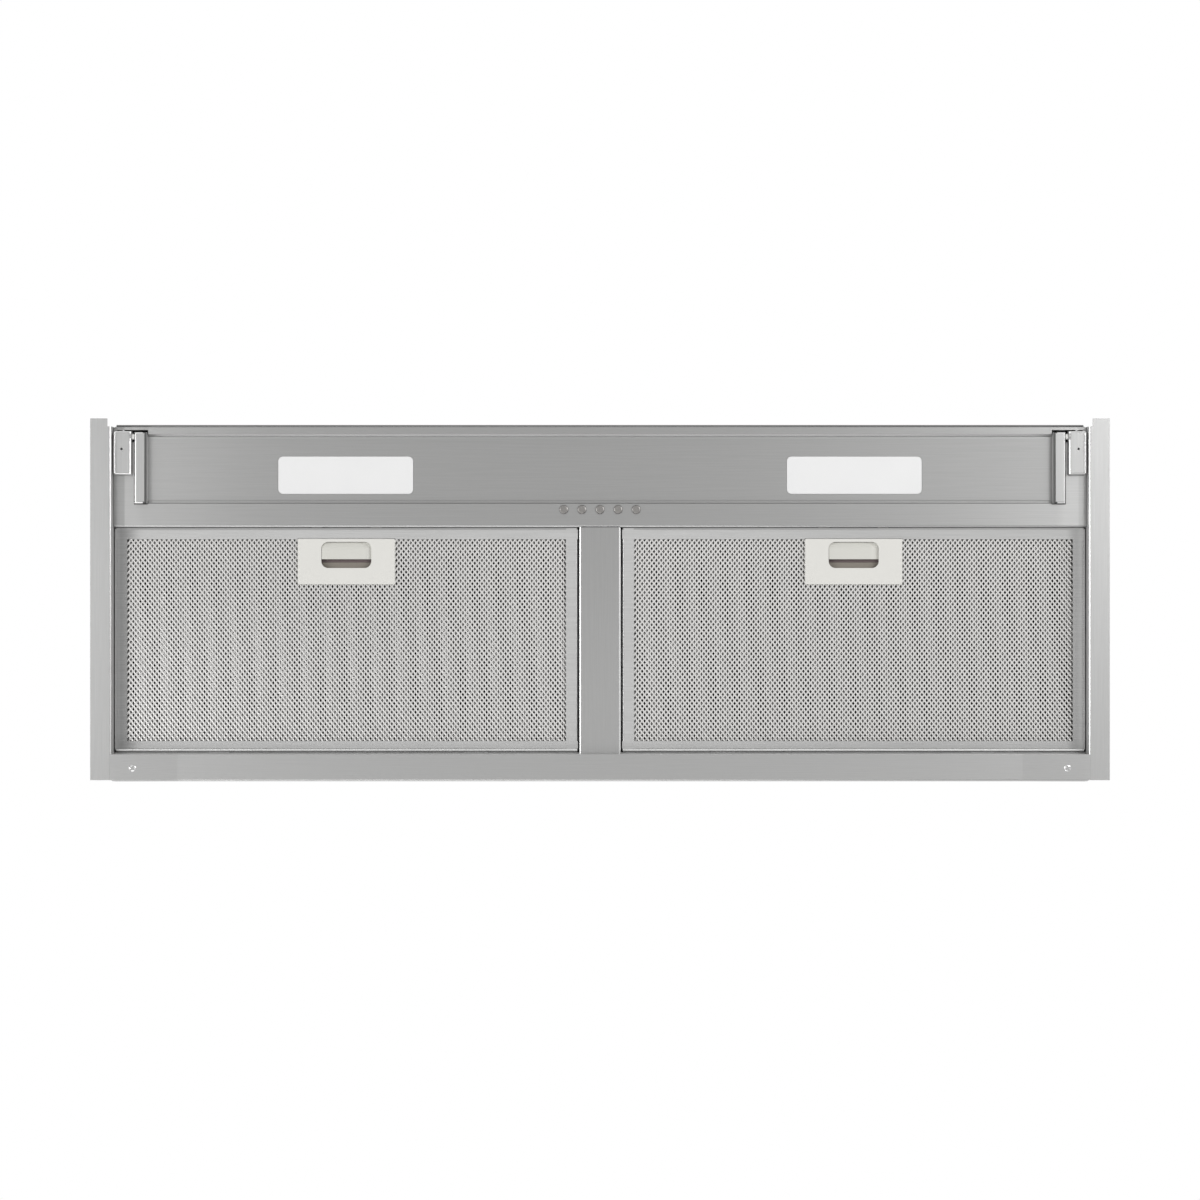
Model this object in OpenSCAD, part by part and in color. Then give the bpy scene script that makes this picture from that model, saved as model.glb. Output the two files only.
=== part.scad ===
// Built-in range hood for a 900 mm wall cupboard, with two hinged grease
// filters, a hinged lamp flap, five push buttons and a centrifugal fan.
// Millimetres. +Z up, -Y towards the cook, origin in the middle of the
// plane in which the side flanges meet the cupboard's side panels.

/* [Overall] */
// Width over the two side flanges
overall_w = 898; // [780:1:1000]
// Depth over the side flanges and the rear strip
overall_d = 320; // [310:1:350]
// Height of the tray above the flange plane
tray_h = 61; // [54:1:90]
// Thickness of the sheet steel
sheet = 1; // [0.8:0.1:1.2]
// Outer radius of the sheet bends
bend_r = 2; // [1.6:0.1:2.5]

/* [Side flanges] */
// Width of a flange under the cupboard's side panel
flange_w = 18.5; // [14:0.5:22]
// Width of the part of a flange that reaches forward
flange_tip_w = 15; // [8:0.5:17]
// How far that part reaches beyond the side wall
flange_tip_d = 7; // [3:0.5:12]
// How far the flanges stop short of the rear edge
flange_short = 1.3; // [0.5:0.1:6]
// Gap between a side wall and the pieces between the walls
side_gap = 0.3; // [0.2:0.1:0.6]
// Distance between the two cupboard screws in a side wall
fix_pitch = 200; // [120:5:220]
// Height of the cupboard screws above the flange plane
fix_z = 36; // [25:1:42]
// Diameter of the holes for the cupboard screws
fix_d = 4.5; // [3.5:0.1:6]

/* [Front panel] */
// Height of the panel's face above the flange plane
panel_z = 8; // [6:0.5:12]
// Distance from the flanges' front end back to the panel
panel_inset = 6; // [4:0.5:12]
// Depth of the panel, front edge to filters
panel_d = 89.7; // [86:0.1:100]
// Depth of the strip in front of the lamp flap
lip_d = 7.3; // [6.8:0.1:8]
// Depth of that strip in front of the hinges
end_lip_d = 3.7; // [3:0.1:4.2]
// Depth of the strip that carries the buttons
button_strip_d = 21; // [18:0.5:24]
// Width of the plate at each end of the lamp flap
corner_w = 18.2; // [17.5:0.1:24]
// Radius of the panel's front corners
corner_r = 4; // [1:0.5:6]
// Height of the lip over which the filter latches hook
hook_h = 4.2; // [3.5:0.1:4.4]

/* [Rear strip] */
// Depth of the strip
strip_d = 23.8; // [22:0.1:30]
// Height of the strip's face above the flange plane
strip_z = 2.4; // [2.3:0.1:3]
// Distance of a screw from the strip's end
strip_screw_in = 18; // [10:0.5:60]
// Diameter of the pan-head screws
screw_head_d = 7.5; // [6:0.1:8.5]

/* [Lamp flap] */
// Depth of the step from the front panel up to the flap
flap_rise = 3; // [2.5:0.1:4]
// Gap in front of the flap
flap_front_gap = 0.8; // [0.6:0.1:1.2]
// Gap behind the flap
flap_rear_gap = 1.3; // [1.1:0.1:2.5]
// Width of a flap arm
arm_w = 10.6; // [9:0.1:12]
// Thickness of the arms' and hinge brackets' walls
arm_t = 1.2; // [1:0.1:1.5]
// Outer radius of the arms' and hinge brackets' edges
arm_r = 1.8; // [1.6:0.1:2.2]
// Distance from the arms' lower face up to the flap
arm_h = 7.5; // [7:0.1:8]
// Diameter of the hinge pins
pin_d = 3.6; // [3:0.1:4]
// Width of a fixed hinge bracket
bracket_w = 15; // [12:0.1:15]
// Depth of a fixed hinge bracket
bracket_d = 38.5; // [30:0.1:50]
// Distance from the flap's front edge back to the hinge pins
pin_back = 1.6; // [1.5:0.1:2.5]
// Depth of the hinge pins below the flap
pin_below = 4.5; // [4.2:0.1:4.8]

/* [Lamps] */
// Width of a lamp window
lamp_w = 120; // [90:1:200]
// Depth of a lamp window
lamp_d = 33.6; // [20:0.1:34]
// Corner radius of a lamp window
lamp_r = 4.5; // [2:0.1:8]
// Distance from the middle of the hood to the middle of a lamp
lamp_x = 225.2; // [120:0.1:280]
// Distance from the flap's rear edge to the middle of a lamp
lamp_back = 23.9; // [22:0.1:26]
// Height of a lamp housing above the flap
lamp_h = 17; // [14:0.5:17]

/* [Buttons] */
// Diameter of a button
button_d = 7.5; // [6:0.1:9]
// Distance between neighbouring buttons
button_pitch = 16; // [14:0.5:24]
// Distance from the panel's rear edge to the buttons
button_back = 15.7; // [14.5:0.1:16]
// Travel of a button
button_travel = 2.5; // [1.5:0.1:3]
// How far a button stands out below the panel
button_out = 2; // [1.5:0.1:4]

/* [Filters] */
// Height of the filters' lower face above the panel's face
filter_up = 2; // [1.5:0.1:4]
// Thickness of a filter
filter_h = 9; // [8.6:0.1:12]
// Width of the frame at a filter's sides
border_side = 10.5; // [8:0.1:16]
// Width of the frame at a filter's front
border_front = 9.7; // [8:0.1:12]
// Width of the frame at a filter's rear
border_rear = 8; // [6:0.1:12]
// Thickness of the mesh pack
mesh_t = 1.2; // [1:0.1:2]
// Spacing of the mesh openings along a row
mesh_px = 15.8; // [14:0.1:24]
// Spacing of the rows of openings
mesh_py = 15; // [14:0.1:20]
// Width of the strands between the openings
strand_w = 2.6; // [1.6:0.1:4]
// Width of the bar between the filters
bar_w = 37; // [30:0.5:60]
// Height of the bar's turned-up edges
bar_h = 12; // [8:0.5:14]

/* [Filter handles] */
// Width of a handle
handle_w = 85.9; // [80:0.1:110]
// Depth of a handle
handle_d = 40.3; // [38:0.1:60]
// Distance from the middle of the hood to the middle of a handle
handle_x = 224.5; // [120:0.1:300]
// Corner radius of a handle
handle_r = 1; // [0.5:0.1:3]
// Width of the finger recess
recess_w = 44.3; // [40:0.1:60]
// Depth of the finger recess
recess_d = 23.1; // [20:0.1:26]
// Corner radius of the finger recess
recess_r = 6; // [2:0.5:7]
// Depth of the finger piece
finger_d = 15; // [12:0.1:15]
// How far the finger piece's crown falls away towards its front
crown_h = 3.4; // [2:0.1:3.6]
// Distance between the middles of the two latch tongues
tongue_pitch = 53; // [40:0.5:56]
// Width of a latch tongue
tongue_w = 9; // [6:0.1:12]
// Travel of a latch
latch_travel = 3.2; // [3:0.1:3.5]

/* [Fan] */
// Outer diameter of the impeller
fan_d = 130; // [110:1:132]
// Width of the impeller
fan_w = 110; // [80:1:120]
// Number of blades
blade_n = 28; // [18:1:32]
// Radial depth of a blade
blade_depth = 12; // [8:0.5:14]
// Diameter of the motor
motor_d = 80; // [60:1:84]
// Length of the motor
motor_l = 60; // [45:1:64]
// Diameter of the motor shaft
shaft_d = 8; // [6:0.5:10]
// Distance from the cutwater to the impeller
cutwater_gap = 6; // [5:0.5:8]
// Growth of the scroll's radius from the cutwater to the outlet
scroll_growth = 28; // [20:0.5:29]
// Distance of the fan's axis behind the middle of the hood
fan_y = 46.5; // [40:0.5:50]
// Height of the scroll's outlet above the fan's axis
neck_h = 90; // [88:0.5:94]

/* [Fan housing and outlet] */
// Width of the fan housing
housing_w = 400; // [260:1:520]
// Depth of the fan housing
housing_d = 260; // [240:1:270]
// Height of the fan housing above the tray
housing_h = 184; // [182:1:230]
// Outer diameter of the outlet collar, a loose fit in a 150 mm duct
collar_d = 149; // [140:0.5:160]
// Length of the outlet collar
collar_l = 45; // [40:1:70]
// Width of the air intake in the tray's top
intake_w = 340; // [200:5:380]
// Depth of the air intake in the tray's top
intake_d = 170; // [100:5:180]
// Diameter of the damper flaps' pin
damper_pin_d = 4; // [3:0.1:5]
// Width of the control box
box_w = 116; // [90:1:150]
// Depth of the control box
box_d = 96; // [80:1:120]
// Height of the control box
box_h = 42; // [40:1:60]
// Bore of the mains inlet gland
gland_bore = 8; // [6:0.5:10]

/* [Hidden] */
$fn = 64;

// Clearances that the pieces share
running = 0.05;
rest_gap = 0.3;
slide_gap = 0.4;

// Main planes of the tray
x_wall = overall_w / 2 - flange_w;
x_in = x_wall - side_gap;
z_top = tray_h - sheet;
y_rear = overall_d / 2;
y_front = -y_rear + panel_inset;
y_panel_end = y_front + panel_d;
y_strip = y_rear - strip_d;
chamber_gap = 3.8;
y_chamber = y_strip + chamber_gap;
hook_z = panel_z + hook_h;
z_foot = strip_z + sheet;
y_divider = y_panel_end - 5.7;
divider_top_d = 10;
strip_front_h = 8;
strip_rear_h = 11.2;
screw_hole_r = 2;
screw_shank_r = 1.7;
screw_l = 7;
screw_head_h = 2.2;

// Opening for the lamp flap
y_lip = y_front + lip_d;
y_open = y_front + end_lip_d;
y_open_end = y_panel_end - button_strip_d;
x_open = x_in - corner_w;
arm_notch = 0.8;

// Lamp flap, its arms and hinges
arm_gap = 1;
x_arm = x_open - arm_gap;
x_arm_in = x_arm - arm_w;
arm_lap = 1.6;
x_flap = x_arm_in + arm_lap;
z_flap = panel_z + flap_rise;
y_flap = y_lip + flap_front_gap;
y_flap_end = y_open_end - flap_rear_gap;
flap_upstand = 6;
flap_rear_h = 5;
seat_inset = 6;
z_arm = z_flap - arm_h;
y_pin = y_flap + pin_back;
z_pin = z_flap - pin_below;
arm_nose_r = 4.1;
y_arm_end = y_open_end + rest_gap - 0.1;
x_bracket = x_arm + 2.7;
z_bracket = z_arm - 0.3;
y_bracket = y_open + 1.3;
cheek_r = 4.6;
bracket_hole_back = 11;
bracket_hole_r = 1.1;
washer_d = 5;
pin_depth = 2;
ramp = 2;
ramp_t = 0.7;

// Lamps
y_lamp = y_flap_end - lamp_back;
lens_gap = 0.3;
lens_flange = 2;
lens_flange_t = 1.2;
lens_proud = 0.2;
lamp_wall = 1.2;
wire_hole_r = 3;
board_t = 1.6;
board_gap = 4.5;
board_r = 2;
led_n = 6;
led_w = 3.5;
led_h = 0.5;

// Buttons and their switch block
button_n = 5;
y_button = y_panel_end - button_back;
z_button = panel_z - button_out;
button_gap = 0.25;
button_collar = 1.2;
button_collar_t = 0.8;
z_block = panel_z + sheet + rest_gap + button_collar_t + button_travel + rest_gap;
block_h = 18;
block_end = 10;
block_foot = 3;
block_bore = 14;
plunger = 6;
button_crown = 0.8;
block_d = button_d + 2.5;

// Filters
x_filter_in = bar_w / 2 + 1.1;
x_filter_out = x_wall - 1.5;
y_filter = y_panel_end + 0.8;
y_filter_end = y_strip - 3.3;
z_filter = panel_z + filter_up;
y_swing = y_filter_end - 1.9;
z_swing = z_filter + 3;
z_mesh = z_filter + sheet;
ledge_z = z_filter + 1.2;
ledge_reach = 5;
ledge_h = 20;
ledge_end = 5;
tab_t = 1;
tab_w = 20;
tab_inset = 90;
tab_end_gap = 2;

// Filter handle and latch
y_handle = y_filter + border_front - rest_gap;
handle_rim = 3;
handle_below = 0.6;
z_handle = z_filter - handle_below;
handle_wall = 1.5;
case_r = 2;
handle_h = filter_h - 1.5;
y_recess = y_handle + 2.7;
y_finger = y_recess + rest_gap;
z_tongue = hook_z + rest_gap;
tongue_t = 2.4;
tongue_reach = 2.6;
latch_t = 2.6;
z_latch = z_mesh + rest_gap;

// Fan
disc_t = 2;
ring_t = 2;
ring_w = 4;
hub_r = 11;
hub_l = 13;
vent_r = 7;
vent_pitch_r = 30;
vent_n = 6;
shaft_back = 18;
shaft_front = 22;
blade_t = 1.2;
blade_bend = 9;
blade_inset = 0.5;
motor_x = 9;
motor_boss = 0.22 * motor_d;
motor_boss_l = 3;
motor_edge = 4;
bracket_t = 3;
bracket_arm_w = 12;
inlet_rim_w = 12;
inlet_lip_h = 5;
fan_r = fan_d / 2;
z_fan = tray_h + housing_h - sheet - neck_h;
scroll_r0 = fan_r + cutwater_gap;
scroll_w = fan_w + 6;
cut_angle = 93;
sweep = cut_angle + 180;
scroll_steps = 28;
inlet_r = fan_r - blade_depth;
shaft_r = shaft_d / 2;
leg_r = scroll_r0 - 1;
throat = scroll_r0 * (1 + cos(cut_angle)) + scroll_growth;
scroll_foot = 8;
arm_angles = [30, 150, 270];

// Fan housing, outlet and dampers
z_roof = tray_h + housing_h;
y_collar = fan_y + (scroll_r0 * cos(cut_angle) - scroll_r0 - scroll_growth) / 2;
collar_r = collar_d / 2;
collar_t = 2;
duct_r = collar_r - collar_t;
damper_up = 20;
z_damper = z_roof + damper_up;
knuckle_r = damper_pin_d / 2 + 1.2;
knuckle_n = 4;
rim_w = 9;
rim_t = 1.5;
stop_w = 2.5;
damper_gap = 0.8;
knuckle_gap = 0.4;
leaf_gap = 0.6;
damper_t = 1;
y_intake = (y_divider + sheet + y_chamber) / 2;
intake_r = 20;
foot_w = 12;
box_x = housing_w / 2 + foot_w + 10;
cover_t = 1.5;
cover_lip_h = 4;
cover_r = 2;
lead_hole_in = 20;
lead_hole_r = 6;
capacitor_r = 15;
capacitor_l = 50;
capacitor_inset = 24;
capacitor_foot = 4;
gland_thread_r = gland_bore / 2 + 2;
gland_nut_r = gland_bore / 2 + 5;
gland_cap_r = gland_bore / 2 + 4;
gland_nut_h = 5;
gland_cap_h = 11;

// Box given by its lowest and its highest corner
module block(low, high) {
    translate(low) cube(high - low);
}

// The same shape at +X and mirrored to -X
module both_sides() {
    children();
    mirror([1, 0, 0]) children();
}

// Rectangle around the origin with round corners
module round_rect(w, d, r) {
    square([w - 2 * r, d], center = true);
    square([w, d - 2 * r], center = true);
    for (x = [-1, 1], y = [-1, 1])
        translate([x * (w / 2 - r), y * (d / 2 - r)]) circle(r);
}

// Section of a sheet folded once: one leg along x, one along y
module fold(w, h) {
    translate([bend_r, 0]) square([w - bend_r, sheet]);
    translate([0, bend_r]) square([sheet, h - bend_r]);
    intersection() {
        translate([bend_r, bend_r]) difference() {
            circle(bend_r);
            circle(bend_r - sheet);
        }
        square(bend_r);
    }
}

// Stands a section drawn in (Y, Z) along X, from x0 to x1
module along_x(x0, x1) {
    translate([x0, 0, 0]) rotate([90, 0, 90]) linear_extrude(x1 - x0) children();
}

// Rectangle from the origin whose two lower corners are round
module round_bottom(w, h, r) {
    translate([0, r]) square([w, h - r]);
    translate([r, 0]) square([w - 2 * r, h - r]);
    for (x = [r, w - r])
        translate([x, r]) circle(r);
}

// Block with round lower edges
module rounded_block(low, high, r) {
    size = high - low;
    intersection() {
        translate([low[0], high[1], low[2]]) rotate([90, 0, 0])
            linear_extrude(size[1]) round_bottom(size[0], size[2], r);
        translate([0, low[1], low[2]]) along_x(low[0], high[0]) round_bottom(size[1], size[2], r);
    }
}

// Pressed tray, open at the top
module tub(low, high, wall, r) {
    inset = [wall, wall, wall];
    difference() {
        rounded_block(low, high, r);
        rounded_block(low + inset, high + [-wall, -wall, 1], r - wall);
    }
}

// Cylinder along X between two X values
module rod_x(x0, x1, y, z, r) {
    translate([x0, y, z]) rotate([0, 90, 0]) cylinder(h = x1 - x0, r = r);
}

// Pan head with a cross recess, facing down, its seat in the plane z = 0
module pan_head(d, h) {
    cross_l = d * 0.55;
    cross_w = d * 0.16;
    difference() {
        translate([0, 0, -h]) rotate_extrude() polygon([[0, 0], [d * 0.3, 0], [d * 0.42, h * 0.2],
            [d * 0.49, h * 0.5], [d / 2, h * 0.8], [d / 2, h], [0, h]]);
        translate([-cross_l / 2, -cross_w / 2, -h - 1]) cube([cross_l, cross_w, h * 0.6 + 1]);
        translate([-cross_w / 2, -cross_l / 2, -h - 1]) cube([cross_w, cross_l, h * 0.6 + 1]);
    }
}

// Side wall and its flange, for the +X side
module side_panel() {
    difference() {
        union() {
            linear_extrude(sheet) polygon([
                [x_wall + bend_r, y_front + sheet], [x_wall + flange_w - flange_tip_w, y_front + sheet],
                [x_wall + flange_w - flange_tip_w, -y_rear], [overall_w / 2, -y_rear],
                [overall_w / 2, y_rear - flange_short], [x_wall + bend_r, y_rear - flange_short]]);
            translate([x_wall, y_chamber + sheet, 0]) rotate([90, 0, 0])
                linear_extrude(y_chamber - y_front) fold(bend_r + 0.5, z_top);
            translate([x_wall, y_rear - flange_short, 0]) rotate([90, 0, 0])
                linear_extrude(y_rear - flange_short - y_chamber) fold(bend_r + 0.5, 2 * bend_r);
        }
        for (y = [-fix_pitch / 2, fix_pitch / 2])
            rod_x(x_wall - 1, x_wall + sheet + 1, y, fix_z, fix_d / 2);
    }
}

module side_panel_left() color("silver") mirror([1, 0, 0]) side_panel();

module side_panel_right() color("silver") side_panel();

// Top plate with the intake, and the rear wall with its foot
module top_shell() color("gainsboro") {
    difference() {
        block([-x_wall - sheet, y_front, z_top], [x_wall + sheet, y_chamber + sheet, tray_h]);
        translate([0, y_intake, z_top - 1]) linear_extrude(sheet + 2)
            round_rect(intake_w, intake_d, intake_r);
        housing_holes();
        lead_hole(z_top);
    }
    difference() {
        along_x(-x_in, x_in) {
            translate([y_chamber, z_foot]) fold(y_rear - y_chamber - 2 * sheet, z_top - z_foot);
        }
        strip_holes(z_foot);
    }
}

module strip_holes(z) {
    both_sides() translate([x_in - strip_screw_in, y_rear - strip_d / 2, z - 1])
        cylinder(h = sheet + 2, r = screw_hole_r);
}

module housing_holes() {
    for (p = housing_screw_places())
        translate([p[0], p[1], z_top - 1]) cylinder(h = 2 * sheet + 2, r = screw_hole_r);
}

// Hole for the leads between the tray and the control box
module lead_hole(z) {
    translate([box_x + lead_hole_in, 0, z - 1]) cylinder(h = sheet + 2, r = lead_hole_r);
}

// Two screws in each foot of the fan housing
function housing_screw_places() = [
    for (sx = [-1, 1], y = [-housing_d / 4, housing_d / 4])
        [sx * (housing_w / 2 + foot_w / 2), y]];

// Folded front panel: face, front wall, lip for the latches, and the ramp
// that leads up to the lamp flap
module front_panel() color("lightgray") {
    low = panel_z - 1;
    high = panel_z + hook_h;
    intersection() {
        difference() {
            along_x(-x_in, x_in) {
                translate([y_front, panel_z]) fold(panel_d - bend_r, z_top - panel_z);
                translate([y_panel_end, panel_z]) mirror([1, 0]) fold(panel_d - bend_r, hook_h);
            }
            block([-x_open, y_lip, low], [x_open, y_open_end, high]);
            both_sides() {
                block([x_arm_in - arm_notch, y_open, low], [x_open, y_open_end + arm_notch, high]);
                block([x_open - 1, y_open, low],
                    [x_bracket + arm_t + rest_gap, y_pin + cheek_r + rest_gap, high]);
                block([x_open - 1, y_open, low], [x_bracket + bracket_w - arm_r, y_bracket + 1, high]);
            }
            for (x = button_places())
                translate([x, y_button, low]) cylinder(h = sheet + 2, r = button_d / 2 + button_gap);
        }
        translate([0, y_front + panel_d, 0]) linear_extrude(tray_h)
            round_rect(2 * x_in, 2 * panel_d, corner_r);
    }
    along_x(arm_notch - x_arm_in, x_arm_in - arm_notch) polygon([[y_lip - sheet, panel_z],
        [y_lip, panel_z], [y_lip + ramp, panel_z + ramp],
        [y_lip + ramp - ramp_t, panel_z + ramp + ramp_t], [y_lip - sheet, panel_z + sheet]]);
}

function button_places() = [for (i = [0:button_n - 1]) (i - (button_n - 1) / 2) * button_pitch];

// Wall between the lamp compartment and the filter chamber
module front_divider() color("gainsboro") {
    along_x(-x_in, x_in) {
        translate([y_divider, panel_z + sheet]) square([sheet, z_top - panel_z - sheet - bend_r]);
        translate([y_divider + sheet, z_top]) mirror([1, 0]) mirror([0, 1]) fold(divider_top_d, 2 * bend_r);
    }
}

// Channel between the filters, from the latch lip to the rear strip
module centre_bar() color("lightgray") {
    translate([0, y_strip, 0]) rotate([90, 0, 0]) linear_extrude(y_strip - y_panel_end)
        for (m = [0, 1])
            mirror([m, 0]) translate([-bar_w / 2, panel_z]) fold(bar_w - bend_r, sheet + bend_r);
    both_sides() block([bar_w / 2 - sheet, y_panel_end, panel_z + bend_r],
        [bar_w / 2, y_strip - chamber_gap, panel_z + bar_h]);
}

// Filler strip behind the filters
module rear_strip() color("lightgray") {
    difference() {
        along_x(-x_in, x_in) {
            translate([y_strip, strip_z]) fold(strip_d - bend_r, strip_front_h);
            translate([y_rear, strip_z]) mirror([1, 0]) fold(strip_d - bend_r, strip_rear_h);
        }
        strip_holes(strip_z);
    }
}

module strip_screws() color("silver") {
    both_sides() translate([x_in - strip_screw_in, y_rear - strip_d / 2, strip_z]) {
        pan_head(screw_head_d, strip_z - rest_gap);
        cylinder(h = screw_l, r = screw_shank_r);
    }
}

// Angles on the rear wall that hold the tabs of the filters
module rear_ledges() color("gainsboro") {
    both_sides() {
        block([x_filter_in + ledge_end, y_chamber - ledge_reach, ledge_z],
            [x_in - ledge_end, y_chamber, ledge_z + sheet]);
        block([x_filter_in + ledge_end, y_chamber - sheet, ledge_z + sheet],
            [x_in - ledge_end, y_chamber, ledge_z + ledge_h]);
    }
}

// Fixed halves of the flap's hinges: a tray with a cheek that holds the pin
module hinge_brackets() color("silver") {
    both_sides() difference() {
        union() {
            tub([x_bracket, y_bracket, z_bracket],
                [x_bracket + bracket_w, y_bracket + bracket_d, panel_z], arm_t, arm_r);
            block([x_bracket, y_pin - cheek_r, z_bracket + arm_r],
                [x_bracket + arm_t, y_pin + cheek_r, z_pin]);
            rod_x(x_bracket, x_bracket + arm_t, y_pin, z_pin, cheek_r);
        }
        rod_x(x_bracket - 1, x_bracket + arm_t + 1, y_pin, z_pin, pin_d / 2 + running);
        translate([x_bracket + bracket_w / 2 + 1, y_pin + bracket_hole_back, z_bracket - 1])
            cylinder(h = arm_t + 2, r = bracket_hole_r);
    }
}

// Hinge pins with the spacing washers between arm and bracket
module hinge_pins() color("white") {
    both_sides() {
        rod_x(x_arm_in + arm_t + pin_depth, x_bracket + arm_t, y_pin, z_pin, pin_d / 2);
        rod_x(x_arm + rest_gap, x_bracket - rest_gap, y_pin, z_pin, washer_d / 2);
    }
}

// Panel of the lamp flap with its turned-up edges
module lamp_flap() color("lightgray") {
    difference() {
        union() {
            along_x(-x_flap, x_flap) {
                translate([y_flap, z_flap]) fold(y_flap_end - y_flap - bend_r, flap_upstand);
                translate([y_flap_end, z_flap]) mirror([1, 0])
                    fold(y_flap_end - y_flap - bend_r, flap_rear_h);
            }
            both_sides() block([x_flap - 1, y_flap + seat_inset, z_flap],
                [x_arm - arm_t, y_flap_end - seat_inset, z_flap + sheet]);
        }
        both_sides() translate([lamp_x, y_lamp, z_flap - 1])
            linear_extrude(sheet + 2) round_rect(lamp_w, lamp_d, lamp_r);
    }
}

// Channels at the flap's ends that turn on the hinge pins
module flap_arms() color("silver") {
    both_sides() difference() {
        union() {
            tub([x_arm_in, y_pin - arm_nose_r / 2, z_arm], [x_arm, y_arm_end, z_flap], arm_t, arm_r);
            intersection() {
                rod_x(x_arm_in, x_arm, y_pin, z_pin, arm_nose_r);
                translate([x_arm_in, y_pin + arm_nose_r, z_arm]) rotate([90, 0, 0])
                    linear_extrude(2 * arm_nose_r) round_bottom(arm_w, arm_h, arm_r);
            }
        }
        rod_x(x_arm_in + arm_t, x_arm + 1, y_pin, z_pin, pin_d / 2 + running);
    }
}

module lamp_lens() {
    translate([lamp_x, y_lamp, z_flap - lens_proud]) linear_extrude(sheet + lens_proud)
        round_rect(lamp_w - 2 * lens_gap, lamp_d - 2 * lens_gap, lamp_r - lens_gap);
    translate([lamp_x, y_lamp, z_flap + sheet]) linear_extrude(lens_flange_t)
        round_rect(lamp_w + 2 * lens_flange, lamp_d + 2 * lens_flange, lamp_r + lens_flange);
}

module lamp_lens_left() color("whitesmoke") mirror([1, 0, 0]) lamp_lens();

module lamp_lens_right() color("whitesmoke") lamp_lens();

// Open-bottomed can over a lamp, with a foot round its rim
module lamp_housing() {
    in_w = lamp_w + 2 * lens_flange + 2 * rest_gap;
    in_d = lamp_d + 2 * lens_flange + 2 * rest_gap;
    z0 = z_flap + sheet;
    difference() {
        translate([lamp_x, y_lamp, z0]) linear_extrude(lamp_h)
            round_rect(in_w + 2 * lamp_wall, in_d + 2 * lamp_wall, lamp_r + lens_flange + lamp_wall);
        translate([lamp_x, y_lamp, z0 - 1]) linear_extrude(lamp_h - lamp_wall + 1)
            round_rect(in_w, in_d, lamp_r + lens_flange);
        translate([lamp_x, y_lamp, z0]) cylinder(h = lamp_h + 1, r = wire_hole_r);
    }
}

module lamp_housing_left() color("silver") mirror([1, 0, 0]) lamp_housing();

module lamp_housing_right() color("silver") lamp_housing();

// Circuit board with its row of light-emitting chips
module lamp_board() {
    z = z_flap + sheet + lamp_h - lamp_wall;
    difference() {
        translate([lamp_x, y_lamp, z - board_t]) linear_extrude(board_t)
            round_rect(lamp_w - 2 * board_gap, lamp_d - 2 * board_gap, board_r);
        translate([lamp_x, y_lamp, z - board_t - 1]) cylinder(h = board_t + 2, r = wire_hole_r);
    }
    for (i = [0:led_n - 1]) {
        x = lamp_x + (i - (led_n - 1) / 2) * (lamp_w - 2 * board_gap) / led_n;
        block([x - led_w / 2, y_lamp - led_w / 2, z - board_t - led_h],
            [x + led_w / 2, y_lamp + led_w / 2, z - board_t]);
    }
}

module lamp_board_left() color("white") mirror([1, 0, 0]) lamp_board();

module lamp_board_right() color("white") lamp_board();

// Switch block above the buttons, standing on the panel on two feet
module switch_block() color("dimgray") {
    half = (button_n - 1) / 2 * button_pitch + block_end;
    difference() {
        union() {
            block([-half, y_button - block_d / 2, z_block],
                [half, y_button + block_d / 2, z_block + block_h]);
            for (x = [-half, half - block_foot])
                block([x, y_button - block_d / 2, panel_z + sheet],
                    [x + block_foot, y_button + block_d / 2, z_block]);
        }
        for (x = button_places())
            translate([x, y_button, z_block - 1])
                cylinder(h = block_bore + 1, r = button_d / 2 + button_gap);
    }
}

// One push button: crowned end, retaining collar and plunger
module button(i) {
    z_collar = panel_z + sheet + rest_gap - z_button;
    r = button_d / 2;
    top = z_block - z_button + plunger;
    translate([button_places()[i - 1], y_button, z_button]) rotate_extrude() polygon([
        [0, 0], [r - button_crown, 0], [r - button_crown * 0.3, button_crown * 0.3],
        [r, button_crown], [r, z_collar],
        [r + button_collar, z_collar], [r + button_collar, z_collar + button_collar_t],
        [r, z_collar + button_collar_t], [r, top], [0, top]]);
}

module button_1() color("gray") button(1);

module button_2() color("gray") button(2);

module button_3() color("gray") button(3);

module button_4() color("gray") button(4);

module button_5() color("gray") button(5);

// Section of the frame's channel, its back at x = 0
module channel(border) {
    fold(border, filter_h - bend_r);
    translate([0, filter_h]) mirror([0, 1]) fold(border, filter_h - bend_r);
}

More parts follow.
